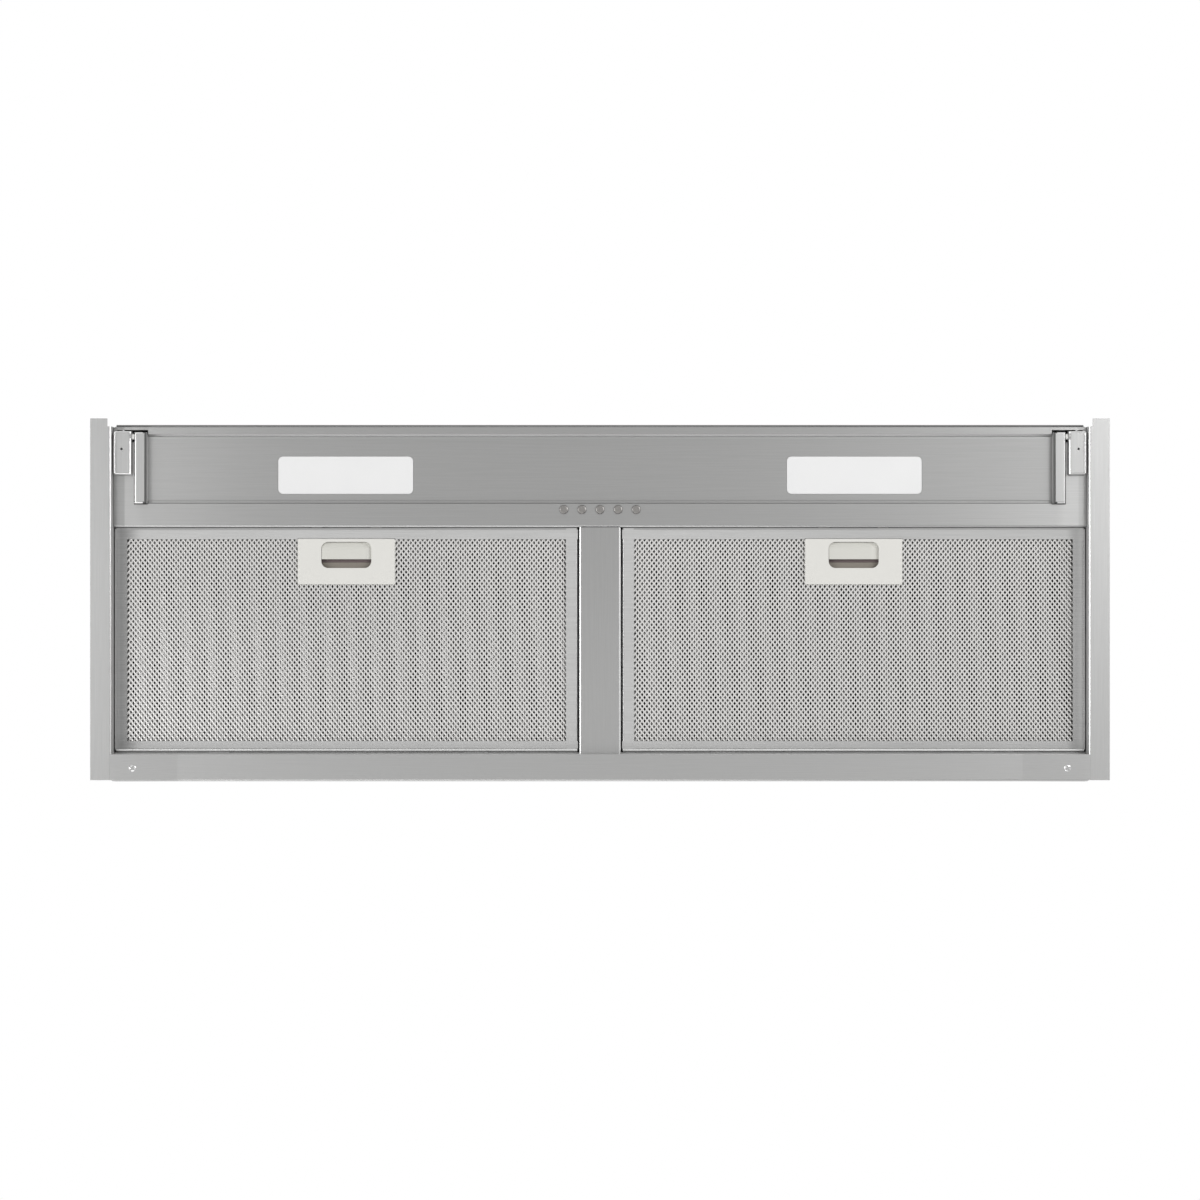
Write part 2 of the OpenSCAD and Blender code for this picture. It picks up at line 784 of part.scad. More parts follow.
// Filter frame: four channels, latch windows and rear tabs
module filter_frame() {
    w = x_filter_out - x_filter_in;
    d = y_filter_end - y_filter;
    difference() {
        union() {
            intersection() {
                union() {
                    translate([x_filter_in, y_filter_end, z_filter]) rotate([90, 0, 0])
                        linear_extrude(d) channel(border_side);
                    translate([x_filter_out, y_filter_end, z_filter]) rotate([90, 0, 0])
                        linear_extrude(d) mirror([1, 0]) channel(border_side);
                    along_x(x_filter_in, x_filter_out) translate([y_filter, z_filter])
                        channel(border_front);
                    along_x(x_filter_in, x_filter_out) translate([y_filter_end, z_filter])
                        mirror([1, 0]) channel(border_rear);
                }
                translate([x_filter_in + w / 2, y_filter + d / 2, z_filter]) linear_extrude(filter_h)
                    round_rect(w, d, bend_r);
            }
            for (x = [x_filter_in + tab_inset, x_filter_out - tab_inset])
                block([x - tab_w / 2, y_filter_end - sheet, z_swing - tab_t / 2],
                    [x + tab_w / 2, y_chamber - tab_end_gap, z_swing + tab_t / 2]);
        }
        translate([handle_x, y_filter, 0]) for (x = [-tongue_pitch / 2, tongue_pitch / 2])
            block([x - tongue_w / 2 - slide_gap, -1, z_tongue - rest_gap],
                [x + tongue_w / 2 + slide_gap, sheet + 1, z_tongue + tongue_t + rest_gap]);
        block([handle_x - handle_w / 2 - rest_gap, y_handle - rest_gap, z_filter - 1],
            [handle_x + handle_w / 2 + rest_gap, y_handle + border_front, z_mesh + rest_gap]);
    }
}

module filter_frame_left() color("lightsteelblue") mirror([1, 0, 0]) filter_frame();

module filter_frame_right() color("lightsteelblue") filter_frame();

// Expanded mesh: rows of diamond openings, every other row shifted by half
module filter_mesh() {
    x0 = x_filter_in + bend_r + rest_gap;
    x1 = x_filter_out - bend_r - rest_gap;
    y0 = y_filter + bend_r + rest_gap;
    y1 = y_filter_end - bend_r - rest_gap;
    cols = floor((x1 - x0 - 2 * border_side) / mesh_px);
    rows = floor((y1 - y0 - border_front - border_rear) / mesh_py);
    hx = mesh_px / 2 - strand_w / 2;
    hy = mesh_py - strand_w / 2;
    hole_w = handle_w - 2 * handle_rim;
    translate([0, 0, z_mesh]) linear_extrude(mesh_t) difference() {
        translate([x0, y0]) square([x1 - x0, y1 - y0]);
        for (j = [1:rows - 1], i = [0:cols - 1]) {
            cx = (x0 + x1) / 2 + (i - (cols - 1) / 2 + (j % 2 == 0 ? 0.25 : -0.25)) * mesh_px;
            cy = (y0 + y1 + border_front - border_rear) / 2 + (j - rows / 2) * mesh_py;
            if (abs(cx - handle_x) > handle_w / 2 + hx || cy > y_handle + handle_d + hy)
                translate([cx, cy]) polygon([[-hx, 0], [0, -hy / 2 - 1], [hx, 0], [0, hy / 2 + 1]]);
        }
        translate([handle_x - hole_w / 2 - rest_gap, y_handle - rest_gap])
            square([hole_w + 2 * rest_gap, handle_d - handle_rim + 2 * rest_gap]);
    }
}

module filter_mesh_left() color("darkgray") mirror([1, 0, 0]) filter_mesh();

module filter_mesh_right() color("darkgray") filter_mesh();

// Handle: rim plate below the mesh, hollow latch case above it
module filter_handle() {
    case_w = handle_w - 2 * handle_rim;
    case_d = handle_d - handle_rim;
    difference() {
        union() {
            translate([handle_x, y_handle + handle_d / 2, z_handle])
                linear_extrude(z_mesh - z_handle) round_rect(handle_w, handle_d, handle_r);
            translate([handle_x, y_handle + case_d / 2, z_mesh])
                linear_extrude(handle_h - sheet) round_rect(case_w, case_d, case_r);
        }
        block([handle_x - case_w / 2 + handle_wall, y_handle + handle_wall, z_mesh],
            [handle_x + case_w / 2 - handle_wall, y_handle + case_d - handle_wall,
                z_mesh + handle_h - sheet - handle_wall]);
        translate([handle_x, y_recess + recess_d / 2, z_handle - 1])
            linear_extrude(z_mesh - z_handle + 2) round_rect(recess_w, recess_d, recess_r);
        translate([handle_x, y_handle, 0]) for (x = [-tongue_pitch / 2, tongue_pitch / 2])
            block([x - tongue_w / 2 - slide_gap, -1, z_tongue - rest_gap],
                [x + tongue_w / 2 + slide_gap, handle_wall + 1, z_tongue + tongue_t + rest_gap]);
    }
}

module filter_handle_left() color("ivory") mirror([1, 0, 0]) filter_handle();

module filter_handle_right() color("ivory") filter_handle();

// Sliding latch: plate, two tongues and the crowned finger piece
module filter_latch() {
    half = tongue_pitch / 2 + tongue_w / 2;
    finger_w = recess_w - 2 * rest_gap;
    translate([handle_x, 0, 0]) {
        difference() {
            block([-half, y_finger, z_latch], [half, y_finger + finger_d, z_latch + latch_t]);
            translate([0, y_finger + finger_d / 2, z_latch - 1]) linear_extrude(latch_t + 2)
                finger_outline(finger_w);
        }
        for (x = [-tongue_pitch / 2, tongue_pitch / 2])
            block([x - tongue_w / 2, y_panel_end - tongue_reach, z_tongue],
                [x + tongue_w / 2, y_finger + 4, z_tongue + tongue_t]);
        intersection() {
            translate([0, y_finger + finger_d / 2, z_handle])
                linear_extrude(z_latch + latch_t - z_handle) finger_outline(finger_w);
            along_x(-finger_w, finger_w) polygon(crown_points());
        }
    }
}

// Side view of the finger piece: a quarter of an ellipse under a flat top
function crown_points() = let (n = 10) concat(
    [for (k = [0:n]) let (a = 90 * k / n)
        [y_finger + finger_d * (1 - cos(a)), z_handle + crown_h * (1 - sin(a))]],
    [[y_finger + finger_d, z_latch + latch_t], [y_finger, z_latch + latch_t]]);

// Round at the front, where it lies in the recess's round corners
module finger_outline(w) {
    r = recess_r - rest_gap;
    translate([0, r / 2]) square([w, finger_d - r], center = true);
    translate([0, -finger_d / 2 + r / 2]) square([w - 2 * r, r], center = true);
    for (x = [-1, 1])
        translate([x * (w / 2 - r), -finger_d / 2 + r]) circle(r);
}

module filter_latch_left() color("ivory") mirror([1, 0, 0]) filter_latch();

module filter_latch_right() color("ivory") filter_latch();

// Sheet box round the fan, open below, with a foot on each side
module fan_housing() color("silver") {
    w = housing_w / 2;
    d = housing_d / 2;
    difference() {
        union() {
            block([-w, -d, tray_h], [w, d, z_roof]);
            both_sides() block([w, -d, tray_h], [w + foot_w, d, tray_h + sheet]);
        }
        block([-w + sheet, -d + sheet, tray_h - 1], [w - sheet, d - sheet, z_roof - sheet]);
        translate([0, y_collar, z_roof - 3]) cylinder(h = 5, r = duct_r, $fn = 96);
        translate([0, 0, sheet]) housing_holes();
    }
}

module housing_screws() color("silver") {
    for (p = housing_screw_places()) translate([p[0], p[1], tray_h + sheet]) {
        rotate([180, 0, 0]) pan_head(screw_head_d, screw_head_h);
        translate([0, 0, -screw_l]) cylinder(h = screw_l, r = screw_shank_r);
    }
}

// Radius of the scroll at the share t of the way from cutwater to outlet
function scroll_r(t) = scroll_r0 + scroll_growth * t;

function scroll_angle(t) = cut_angle - sweep * t;

// Outline of the scroll, grown outwards by the wall t, closed over the outlet
function scroll_points(wall) = concat(
    [for (k = [0:scroll_steps]) let (t = k / scroll_steps)
        (scroll_r(t) + wall) * [cos(scroll_angle(t)), sin(scroll_angle(t))]],
    [[-scroll_r(1) - wall, z_roof - sheet - z_fan],
     [scroll_r0 * cos(cut_angle) + wall, z_roof - sheet - z_fan]]);

// Half of the scroll casing, from its middle plane to the +X inlet plate
module scroll_half() {
    half = scroll_w / 2;
    difference() {
        translate([0, fan_y, z_fan]) union() {
            along_x(0, half) difference() {
                polygon(scroll_points(sheet));
                polygon(scroll_points(0));
            }
            along_x(half, half + sheet) difference() {
                polygon(scroll_points(sheet));
                circle(inlet_r);
            }
        }
        block([-1, y_collar - throat / 2, z_roof - sheet - 1],
            [half - 0.01, y_collar + throat / 2, z_roof]);
    }
    block([half + sheet, y_collar - throat / 2, z_roof - 2 * sheet],
        [half + sheet + scroll_foot, y_collar + throat / 2, z_roof - sheet]);
}

module scroll_left() color("lightslategray") mirror([1, 0, 0]) scroll_half();

module scroll_right() color("lightslategray") scroll_half();

// Flared rings round the two inlets
module inlet_rings() color("gainsboro") {
    x = scroll_w / 2 + sheet;
    both_sides() translate([x, fan_y, z_fan]) rotate([0, 90, 0]) rotate_extrude() polygon([
        [inlet_r, 0], [inlet_r + inlet_rim_w, 0], [inlet_r + inlet_rim_w, 1], [inlet_r + 4, 1.2],
        [inlet_r + 2, 2.5], [inlet_r + 1.2, inlet_lip_h], [inlet_r, inlet_lip_h]]);
}

// Forward-curved blade as a bent strip, in the plane of the wheel
function blade_points(a) = let (
    n = 5,
    r_in = fan_r - blade_depth + blade_inset,
    r_out = fan_r - blade_inset,
    side = function (s) [for (k = [0:n]) let (
        u = k / n,
        r = r_in + (r_out - r_in) * u,
        b = a + blade_bend * u * u + s * asin(blade_t / 2 / r))
        r * [cos(b), sin(b)]])
    concat(side(-1), [for (k = [n:-1:0]) side(1)[k]]);

// Double-inlet wheel: blades on both sides of a disc, end rings, hub, shaft
module impeller() color("darkslategray") {
    half = fan_w / 2;
    translate([0, fan_y, z_fan]) {
        difference() {
            along_x(-disc_t / 2, disc_t / 2) circle(fan_r);
            for (k = [0:vent_n - 1]) let (a = k * 360 / vent_n)
                rod_x(-disc_t, disc_t, vent_pitch_r * cos(a), vent_pitch_r * sin(a), vent_r);
        }
        for (x0 = [-half + ring_t, disc_t / 2], k = [0:blade_n - 1])
            along_x(x0, x0 + half - ring_t - disc_t / 2) polygon(blade_points(k * 360 / blade_n));
        for (x = [-half, half - ring_t])
            along_x(x, x + ring_t) difference() {
                circle(fan_r);
                circle(fan_r - ring_w);
            }
        rod_x(-hub_l - disc_t / 2, -disc_t / 2, 0, 0, hub_r);
        rod_x(-shaft_back, shaft_front, 0, 0, shaft_r);
    }
}

// Motor in the mouth of the +X inlet, its shaft bore towards the wheel
module motor() color("gray") {
    r = motor_d / 2;
    difference() {
        translate([motor_x, fan_y, z_fan]) rotate([0, 90, 0]) rotate_extrude() polygon([
            [0, 0], [motor_boss, 0], [motor_boss, motor_boss_l], [r - motor_edge, motor_boss_l],
            [r, motor_boss_l + motor_edge], [r, motor_l - motor_edge], [r - motor_edge, motor_l],
            [0, motor_l]]);
        rod_x(motor_x - 1, shaft_front + 1, fan_y, z_fan, shaft_r + running);
    }
}

// Three-armed carrier from the motor's end to the inlet plate
module motor_bracket() color("silver") {
    x = motor_x + motor_l;
    half = bracket_arm_w / 2;
    translate([0, fan_y, z_fan]) {
        rod_x(x, x + bracket_t, 0, 0, motor_boss + half);
        for (a = arm_angles) rotate([a, 0, 0]) {
            block([x, motor_boss, -half], [x + bracket_t, leg_r, half]);
            block([scroll_w / 2 + sheet, leg_r - bracket_t, -half], [x + bracket_t, leg_r, half]);
        }
    }
}

// Outlet collar with its foot and the damper's stop rim
module outlet_collar() color("darkgray") {
    z_stop = z_damper - knuckle_r - rest_gap;
    difference() {
        translate([0, y_collar, z_roof]) rotate_extrude($fn = 96) polygon([
            [duct_r, 0], [collar_r + rim_w, 0], [collar_r + rim_w, rim_t], [collar_r, rim_t],
            [collar_r, collar_l - 1], [collar_r - 0.6, collar_l], [duct_r, collar_l],
            [duct_r, z_stop - z_roof], [duct_r - stop_w, z_stop - z_roof],
            [duct_r - stop_w, z_stop - z_roof - 1], [duct_r, z_stop - z_roof - stop_w - 1]]);
        rod_x(-collar_r - 1, collar_r + 1, y_collar, z_damper, damper_pin_d / 2 + running);
    }
}

module damper_pin() color("silver") {
    rod_x(rest_gap - collar_r, collar_r - rest_gap, y_collar, z_damper, damper_pin_d / 2);
}

// Half-round damper leaf on the -Y side, with every other knuckle
module damper(first) {
    r = duct_r - damper_gap;
    seg = (2 * r - 4 * knuckle_r) / knuckle_n;
    near = knuckle_r + leaf_gap;
    translate([0, y_collar, z_damper]) difference() {
        union() {
            translate([0, 0, -knuckle_r]) linear_extrude(damper_t) intersection() {
                circle(r, $fn = 96);
                translate([-r, -r]) square([2 * r, r - near]);
            }
            for (k = [first:2:knuckle_n - 1]) {
                x0 = (k - knuckle_n / 2) * seg + knuckle_gap;
                x1 = x0 + seg - 2 * knuckle_gap;
                rod_x(x0, x1, 0, 0, knuckle_r);
                block([x0, -near - 1, -knuckle_r], [x1, 0, -knuckle_r + damper_t]);
            }
        }
        rod_x(-collar_r, collar_r, 0, 0, damper_pin_d / 2 + running);
    }
}

module damper_front() color("darkgray") damper(0);

module damper_rear() color("darkgray")
    translate([0, 2 * y_collar, 0]) mirror([0, 1, 0]) damper(1);

// Control box on the tray beside the fan housing
module control_box() color("gainsboro") {
    difference() {
        block([box_x, -box_d / 2, tray_h], [box_x + box_w, box_d / 2, tray_h + box_h]);
        block([box_x + sheet, -box_d / 2 + sheet, tray_h + sheet],
            [box_x + box_w - sheet, box_d / 2 - sheet, tray_h + box_h + 1]);
        lead_hole(tray_h);
        translate([box_x + box_w / 2, box_d / 2 - sheet - 1, tray_h + box_h / 2])
            rotate([-90, 0, 0]) cylinder(h = sheet + 2, r = gland_thread_r + running);
    }
}

module box_cover() color("silver") {
    translate([box_x + box_w / 2, 0, tray_h + box_h]) linear_extrude(cover_t)
        round_rect(box_w, box_d, cover_r);
    inset = sheet + rest_gap;
    z = tray_h + box_h;
    difference() {
        block([box_x + inset, inset - box_d / 2, z - cover_lip_h],
            [box_x + box_w - inset, box_d / 2 - inset, z]);
        block([box_x + inset + sheet, inset + sheet - box_d / 2, z - cover_lip_h - 1],
            [box_x + box_w - inset - sheet, box_d / 2 - inset - sheet, z]);
    }
}

// Run capacitor lying in the control box
module capacitor() color("white") {
    r = capacitor_r;
    l = capacitor_l;
    translate([box_x + box_w - capacitor_inset, -l / 2, tray_h + sheet]) {
        translate([-r, 0, 0]) cube([2 * r, l, capacitor_foot]);
        intersection() {
            translate([0, 0, r]) rotate([-90, 0, 0]) cylinder(h = l, r = r);
            translate([-r, 0, capacitor_foot]) cube([2 * r, l, 2 * r]);
        }
    }
}

// Screwed gland for the mains lead in the rear of the control box
module cable_gland() color("dimgray") {
    translate([box_x + box_w / 2, box_d / 2, tray_h + box_h / 2]) rotate([-90, 0, 0]) difference() {
        union() {
            cylinder(h = gland_nut_h, r = gland_nut_r, $fn = 6);
            translate([0, 0, gland_nut_h]) rotate_extrude() polygon([[0, 0], [gland_cap_r, 0],
                [gland_cap_r, gland_cap_h - 3], [gland_cap_r - 1.5, gland_cap_h], [0, gland_cap_h]]);
            translate([0, 0, -sheet]) cylinder(h = sheet, r = gland_thread_r);
            translate([0, 0, -sheet - gland_nut_h]) cylinder(h = gland_nut_h, r = gland_nut_r, $fn = 6);
        }
        translate([0, 0, -2 * gland_nut_h])
            cylinder(h = 2 * gland_nut_h + 2 * gland_cap_h, r = gland_bore / 2);
    }
}

side_panel_left();
side_panel_right();
top_shell();
front_panel();
front_divider();
centre_bar();
rear_strip();
strip_screws();
rear_ledges();
hinge_brackets();
hinge_pins();
lamp_flap();
flap_arms();
lamp_lens_left();
lamp_lens_right();
lamp_housing_left();
lamp_housing_right();
lamp_board_left();
lamp_board_right();
switch_block();
button_1();
button_2();
button_3();
button_4();
button_5();
filter_frame_left();
filter_frame_right();
filter_mesh_left();
filter_mesh_right();
filter_handle_left();
filter_handle_right();
filter_latch_left();
filter_latch_right();
fan_housing();
housing_screws();
scroll_left();
scroll_right();
inlet_rings();
impeller();
motor();
motor_bracket();
outlet_collar();
damper_pin();
damper_front();
damper_rear();
control_box();
box_cover();
capacitor();
cable_gland();
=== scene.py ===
from math import cos, hypot, pi, radians, sin, sqrt, tan, tau

import bmesh
import bpy
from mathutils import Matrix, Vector


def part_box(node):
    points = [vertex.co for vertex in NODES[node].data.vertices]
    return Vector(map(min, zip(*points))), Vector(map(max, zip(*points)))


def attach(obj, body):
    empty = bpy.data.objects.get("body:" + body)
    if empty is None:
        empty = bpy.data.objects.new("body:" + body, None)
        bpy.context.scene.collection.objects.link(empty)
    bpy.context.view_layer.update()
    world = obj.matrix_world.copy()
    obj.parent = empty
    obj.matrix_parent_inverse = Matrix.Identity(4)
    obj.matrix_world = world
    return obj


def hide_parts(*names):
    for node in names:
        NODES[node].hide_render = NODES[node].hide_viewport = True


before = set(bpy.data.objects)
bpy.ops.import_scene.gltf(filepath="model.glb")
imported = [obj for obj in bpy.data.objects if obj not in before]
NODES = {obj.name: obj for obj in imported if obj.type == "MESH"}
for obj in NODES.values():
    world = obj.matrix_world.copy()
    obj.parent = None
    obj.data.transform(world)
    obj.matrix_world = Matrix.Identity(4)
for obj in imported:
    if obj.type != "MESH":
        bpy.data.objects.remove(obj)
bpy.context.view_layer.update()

SIDES = (("left", -1), ("right", 1))


# New object of the scene
def add_object(name, data):
    added = bpy.data.objects.new(name, data)
    bpy.context.scene.collection.objects.link(added)
    return added


CAMERA_DISTANCE = 2.0
CAMERA_ANGLE = 29.6
SENSOR_WIDTH = 36
CLIP = (0.01, 50)


# Camera, straight below the hood, with the front of the hood at the top of the picture
def make_camera():
    data = bpy.data.cameras.new("camera")
    data.sensor_width = SENSOR_WIDTH
    data.lens = SENSOR_WIDTH / (2 * tan(radians(CAMERA_ANGLE) / 2))
    data.clip_start, data.clip_end = CLIP
    camera = add_object("camera", data)
    camera.location = (0, 0, -CAMERA_DISTANCE)
    camera.rotation_euler = (pi, 0, 0)
    bpy.context.scene.camera = camera


# Places of the colours among the sockets of a Mix node
MIX_A, MIX_B, MIX_RESULT = 6, 7, 2


# Small helpers for node trees
class Tree:
    def __init__(self, tree):
        self.tree = tree
        tree.nodes.clear()

    # Node of a kind, with its settings; each of the inputs is a value or a socket to link to
    def add(self, kind, inputs=None, **settings):
        node = self.tree.nodes.new(kind)
        for key, value in settings.items():
            setattr(node, key, value)
        for key, value in (inputs or {}).items():
            if isinstance(value, bpy.types.NodeSocket):
                self.tree.links.new(value, node.inputs[key])
            else:
                node.inputs[key].default_value = value
        return node

    def math(self, operation, a, b=0.0):
        return self.add("ShaderNodeMath", {0: a, 1: b}, operation=operation).outputs[0]

    def product(self, a, b):
        return self.math("MULTIPLY", a, b)

    def average(self, a, b):
        return self.math("ADD", self.product(a, 0.5), self.product(b, 0.5))

    # What a share leaves of 1
    def rest(self, share):
        return self.math("SUBTRACT", 1, share)

    # Takes value from low..high to out_low..out_high
    def ramp(self, value, low, high, out_low, out_high, smooth=False):
        inputs = {"Value": value, "From Min": low, "From Max": high, "To Min": out_low, "To Max": out_high}
        kind = "SMOOTHSTEP" if smooth else "LINEAR"
        return self.add("ShaderNodeMapRange", inputs, interpolation_type=kind).outputs["Result"]

    # Colour between a and b by factor
    def mix(self, factor, a, b):
        inputs = {"Factor": factor}
        for place, colour in ((MIX_A, a), (MIX_B, b)):
            inputs[place] = (*colour, 1) if isinstance(colour, tuple) else colour
        return self.add("ShaderNodeMix", inputs, data_type="RGBA").outputs[MIX_RESULT]

    # A vector operation, which gives a number for DOT_PRODUCT and LENGTH
    def vector(self, operation, inputs):
        node = self.add("ShaderNodeVectorMath", inputs, operation=operation)
        return node.outputs["Value" if operation in ("DOT_PRODUCT", "LENGTH") else "Vector"]

    # A vector's x, y and z
    def split(self, vector):
        return self.add("ShaderNodeSeparateXYZ", {0: vector}).outputs

    def coordinate(self, kind):
        return self.add("ShaderNodeTexCoord").outputs[kind]


# World light from all round, from the sides and the rear, and the share that the front lacks
WORLD_BASE = 0.65
WORLD_SIDE = 0.4
WORLD_REAR = 0.4
WORLD_FRONT = 0.78
# Directions: y where the front darkens and the rear brightens, z of the low band and white cap
FRONT_FADE = (-0.15, -0.8)
REAR_RISE = (0.0, 0.9)
LOW_BAND = (0.02, 0.2)
HIGH_SHARE = 0.1
CAP_RISE = (0.72, 0.9)


# World: white over the hood, bright to the left, right and rear, darker towards the front, and
# white where the camera, metal or glass sees it
def make_world():
    world = bpy.data.worlds.new("studio")
    bpy.context.scene.world = world
    world.use_nodes = True
    t = Tree(world.node_tree)
    x, y, z = t.split(t.coordinate("Generated"))
    side = t.product(t.product(x, x), WORLD_SIDE)
    to_front = t.ramp(y, *FRONT_FADE, 0, 1, smooth=True)
    to_rear = t.ramp(y, *REAR_RISE, 0, WORLD_REAR)
    wall = t.math("ADD", t.math("ADD", side, to_rear), WORLD_BASE)
    below = t.ramp(z, *LOW_BAND, WORLD_FRONT, HIGH_SHARE, smooth=True)
    wall = t.product(wall, t.rest(t.product(to_front, below)))
    cap = t.ramp(z, *CAP_RISE, 0, 1, smooth=True)
    level = t.math("ADD", t.product(wall, t.rest(cap)), cap)
    path = t.add("ShaderNodeLightPath")
    seen = t.math("MAXIMUM", path.outputs["Is Camera Ray"], path.outputs["Is Glossy Ray"])
    seen = t.math("MAXIMUM", seen, path.outputs["Is Transmission Ray"])
    level = t.math("ADD", t.product(level, t.rest(seen)), seen)
    background = t.add("ShaderNodeBackground", {"Strength": level, "Color": (1, 1, 1, 1)})
    t.add("ShaderNodeOutputWorld", {"Surface": background.outputs[0]})


# Softboxes: name, place, width, height and radiance; all face the hood
LIGHTS = (
    ("softbox_left", (-2.02, -0.05, -1.62), 0.7, 1.8, 5.2),
    ("softbox_rear", (-0.5, 2.0, -1.50), 1.8, 0.7, 2.2),
    ("softbox_right", (1.70, -0.7, -1.80), 0.7, 1.8, 7.0),
)


def make_lights():
    for name, place, width, height, radiance in LIGHTS:
        data = bpy.data.lights.new(name, "AREA")
        data.shape = "RECTANGLE"
        data.size, data.size_y = width, height
        data.energy = radiance * pi * width * height
        light = add_object(name, data)
        light.location = place
        light.rotation_euler = (-Vector(place)).to_track_quat("-Z", "Y").to_euler()


FLOOR_Z = -2.3
FLOOR_RADIUS = 5.5
FLOOR_STEPS = 96
FLOOR_FADE = 3.4
FLOOR_COLOUR = (0.585, 0.585, 0.583)
FLOOR_ROUGH = 0.9
FLOOR_SPECULAR = 0.1


# Round floor whose rim fades into the white of the world
def make_floor():
    bm = bmesh.new()
    angles = [tau * k / FLOOR_STEPS for k in range(FLOOR_STEPS)]
    bm.faces.new([bm.verts.new((FLOOR_RADIUS * cos(a), FLOOR_RADIUS * sin(a), FLOOR_Z))
                  for a in angles])
    mesh = bpy.data.meshes.new("floor")
    bm.to_mesh(mesh)
    bm.free()
    floor = add_object("floor", mesh)
    t = new_material("floor")
    reach = t.vector("LENGTH", {0: t.coordinate("Object")})
    fade = t.ramp(reach, FLOOR_FADE, FLOOR_RADIUS, 0, 1, smooth=True)
    surface(t, {"Base Color": t.mix(fade, FLOOR_COLOUR, (1, 1, 1)), "Roughness": FLOOR_ROUGH,
                "Specular IOR Level": FLOOR_SPECULAR})
    mesh.materials.append(MATERIALS["floor"])


MATERIALS = {}


def new_material(name):
    material = bpy.data.materials.new(name)
    MATERIALS[name] = material
    material.use_nodes = True
    return Tree(material.node_tree)


# The shader of a material with some of its inputs
def surface(t, inputs):
    shader = t.add("ShaderNodeBsdfPrincipled", inputs)
    t.add("ShaderNodeOutputMaterial", {"Surface": shader.outputs[0]})


# Parts of a noise's range that are spread over 0 to 1, for blotches and for grain
BLOTCH_RANGE = (0.3, 0.7)
GRAIN_RANGE = (0.2, 0.8)


def noise(t, scale, detail=2.0, stretch=(1, 1, 1)):
    place = t.add("ShaderNodeMapping", {"Vector": t.coordinate("Object"), "Scale": stretch}).outputs[0]
    return t.add("ShaderNodeTexNoise", {"Vector": place, "Scale": scale, "Detail": detail}).outputs["Fac"]


def bump(t, height, strength, distance):
    inputs = {"Height": height, "Strength": strength, "Distance": distance}
    return t.add("ShaderNodeBump", inputs).outputs[0]


def tint(colour, factor):
    return tuple(c * factor for c in colour)


# The colour, darker by contrast where level is 0 and lighter by it where level is 1
def shade(t, level, colour, contrast):
    return t.mix(level, tint(colour, 1 - contrast), tint(colour, 1 + contrast))


# 1 where a sheet is bent, 0 on its faces, by the normal in the piece's own axes
def bend_mask(t, low=0.27, high=0.48):
    x, y, z = [t.math("ABSOLUTE", part) for part in t.split(t.coordinate("Normal"))]
    products = [t.product(a, b) for a, b in ((x, y), (y, z), (x, z))]
    total = t.math("ADD", t.math("ADD", products[0], products[1]), products[2])
    return t.ramp(total, low, high, 0, 1, smooth=True)


# Upward share of the normal on a level and on an upright face
LEVEL_FACE, UPRIGHT_FACE = 0.35, 0.05


# 1 on upright faces, 0 on level ones, by the same normal
def upright_mask(t):
    upward = t.math("ABSOLUTE", t.split(t.coordinate("Normal"))[2])
    return t.ramp(upward, LEVEL_FACE, UPRIGHT_FACE, 0, 1, smooth=True)


# Painted light and shade on the level faces: each band (axis, low, high, at_low, at_high) adds a share,
# light above 0 and shade below 0, that goes smoothly from at_low to at_high between two places on an axis
def paint_light_and_shade(t, colour, painted_bands):
    place = t.split(t.coordinate("Object"))
    total = 0.0
    for axis, low, high, at_low, at_high in painted_bands:
        share = t.ramp(place[axis], low, high, at_low, at_high, smooth=True)
        total = t.math("ADD", share, total)
    factor = t.math("ADD", t.product(total, t.rest(upright_mask(t))), 1)
    return t.vector("SCALE", {0: colour, "Scale": factor})


# Brushed sheet: scales and shares of streaks and blotches, how far a streak is drawn out, and
# the contrast of the colour, spread of the roughness and strength and distance of the bumps
STREAK_SCALE, BLOTCH_SCALE = 1700, 9
STREAK_SHARE, BLOTCH_SHARE = 0.8, 0.2
STREAK_STRETCH = 0.012
BRUSHED_CONTRAST = 0.045
BRUSHED_SPREAD = 0.04
BRUSHED_BUMP = (0.12, 0.00005)
# Painted highlight on the bends: least share, tint and roughness; width in which it fades, and its share
# after
LEAST_BEND_HIGHLIGHT = 0.85
BEND_HIGHLIGHT_TINT = (1, 1, 0.995)
BEND_HIGHLIGHT_ROUGH = 0.2
HIGHLIGHT_FADE_WIDTH = 0.003
HIGHLIGHT_LEFT_SHARE = 0.1
# Painted shade on the arms' inner edges: limits of its bend mask, and its tint. Roughness of upright faces
SHADED_EDGE_BEND = (0.05, 0.2)
EDGE_SHADE_TINT = 0.2
UPRIGHT_ROUGH = 0.9
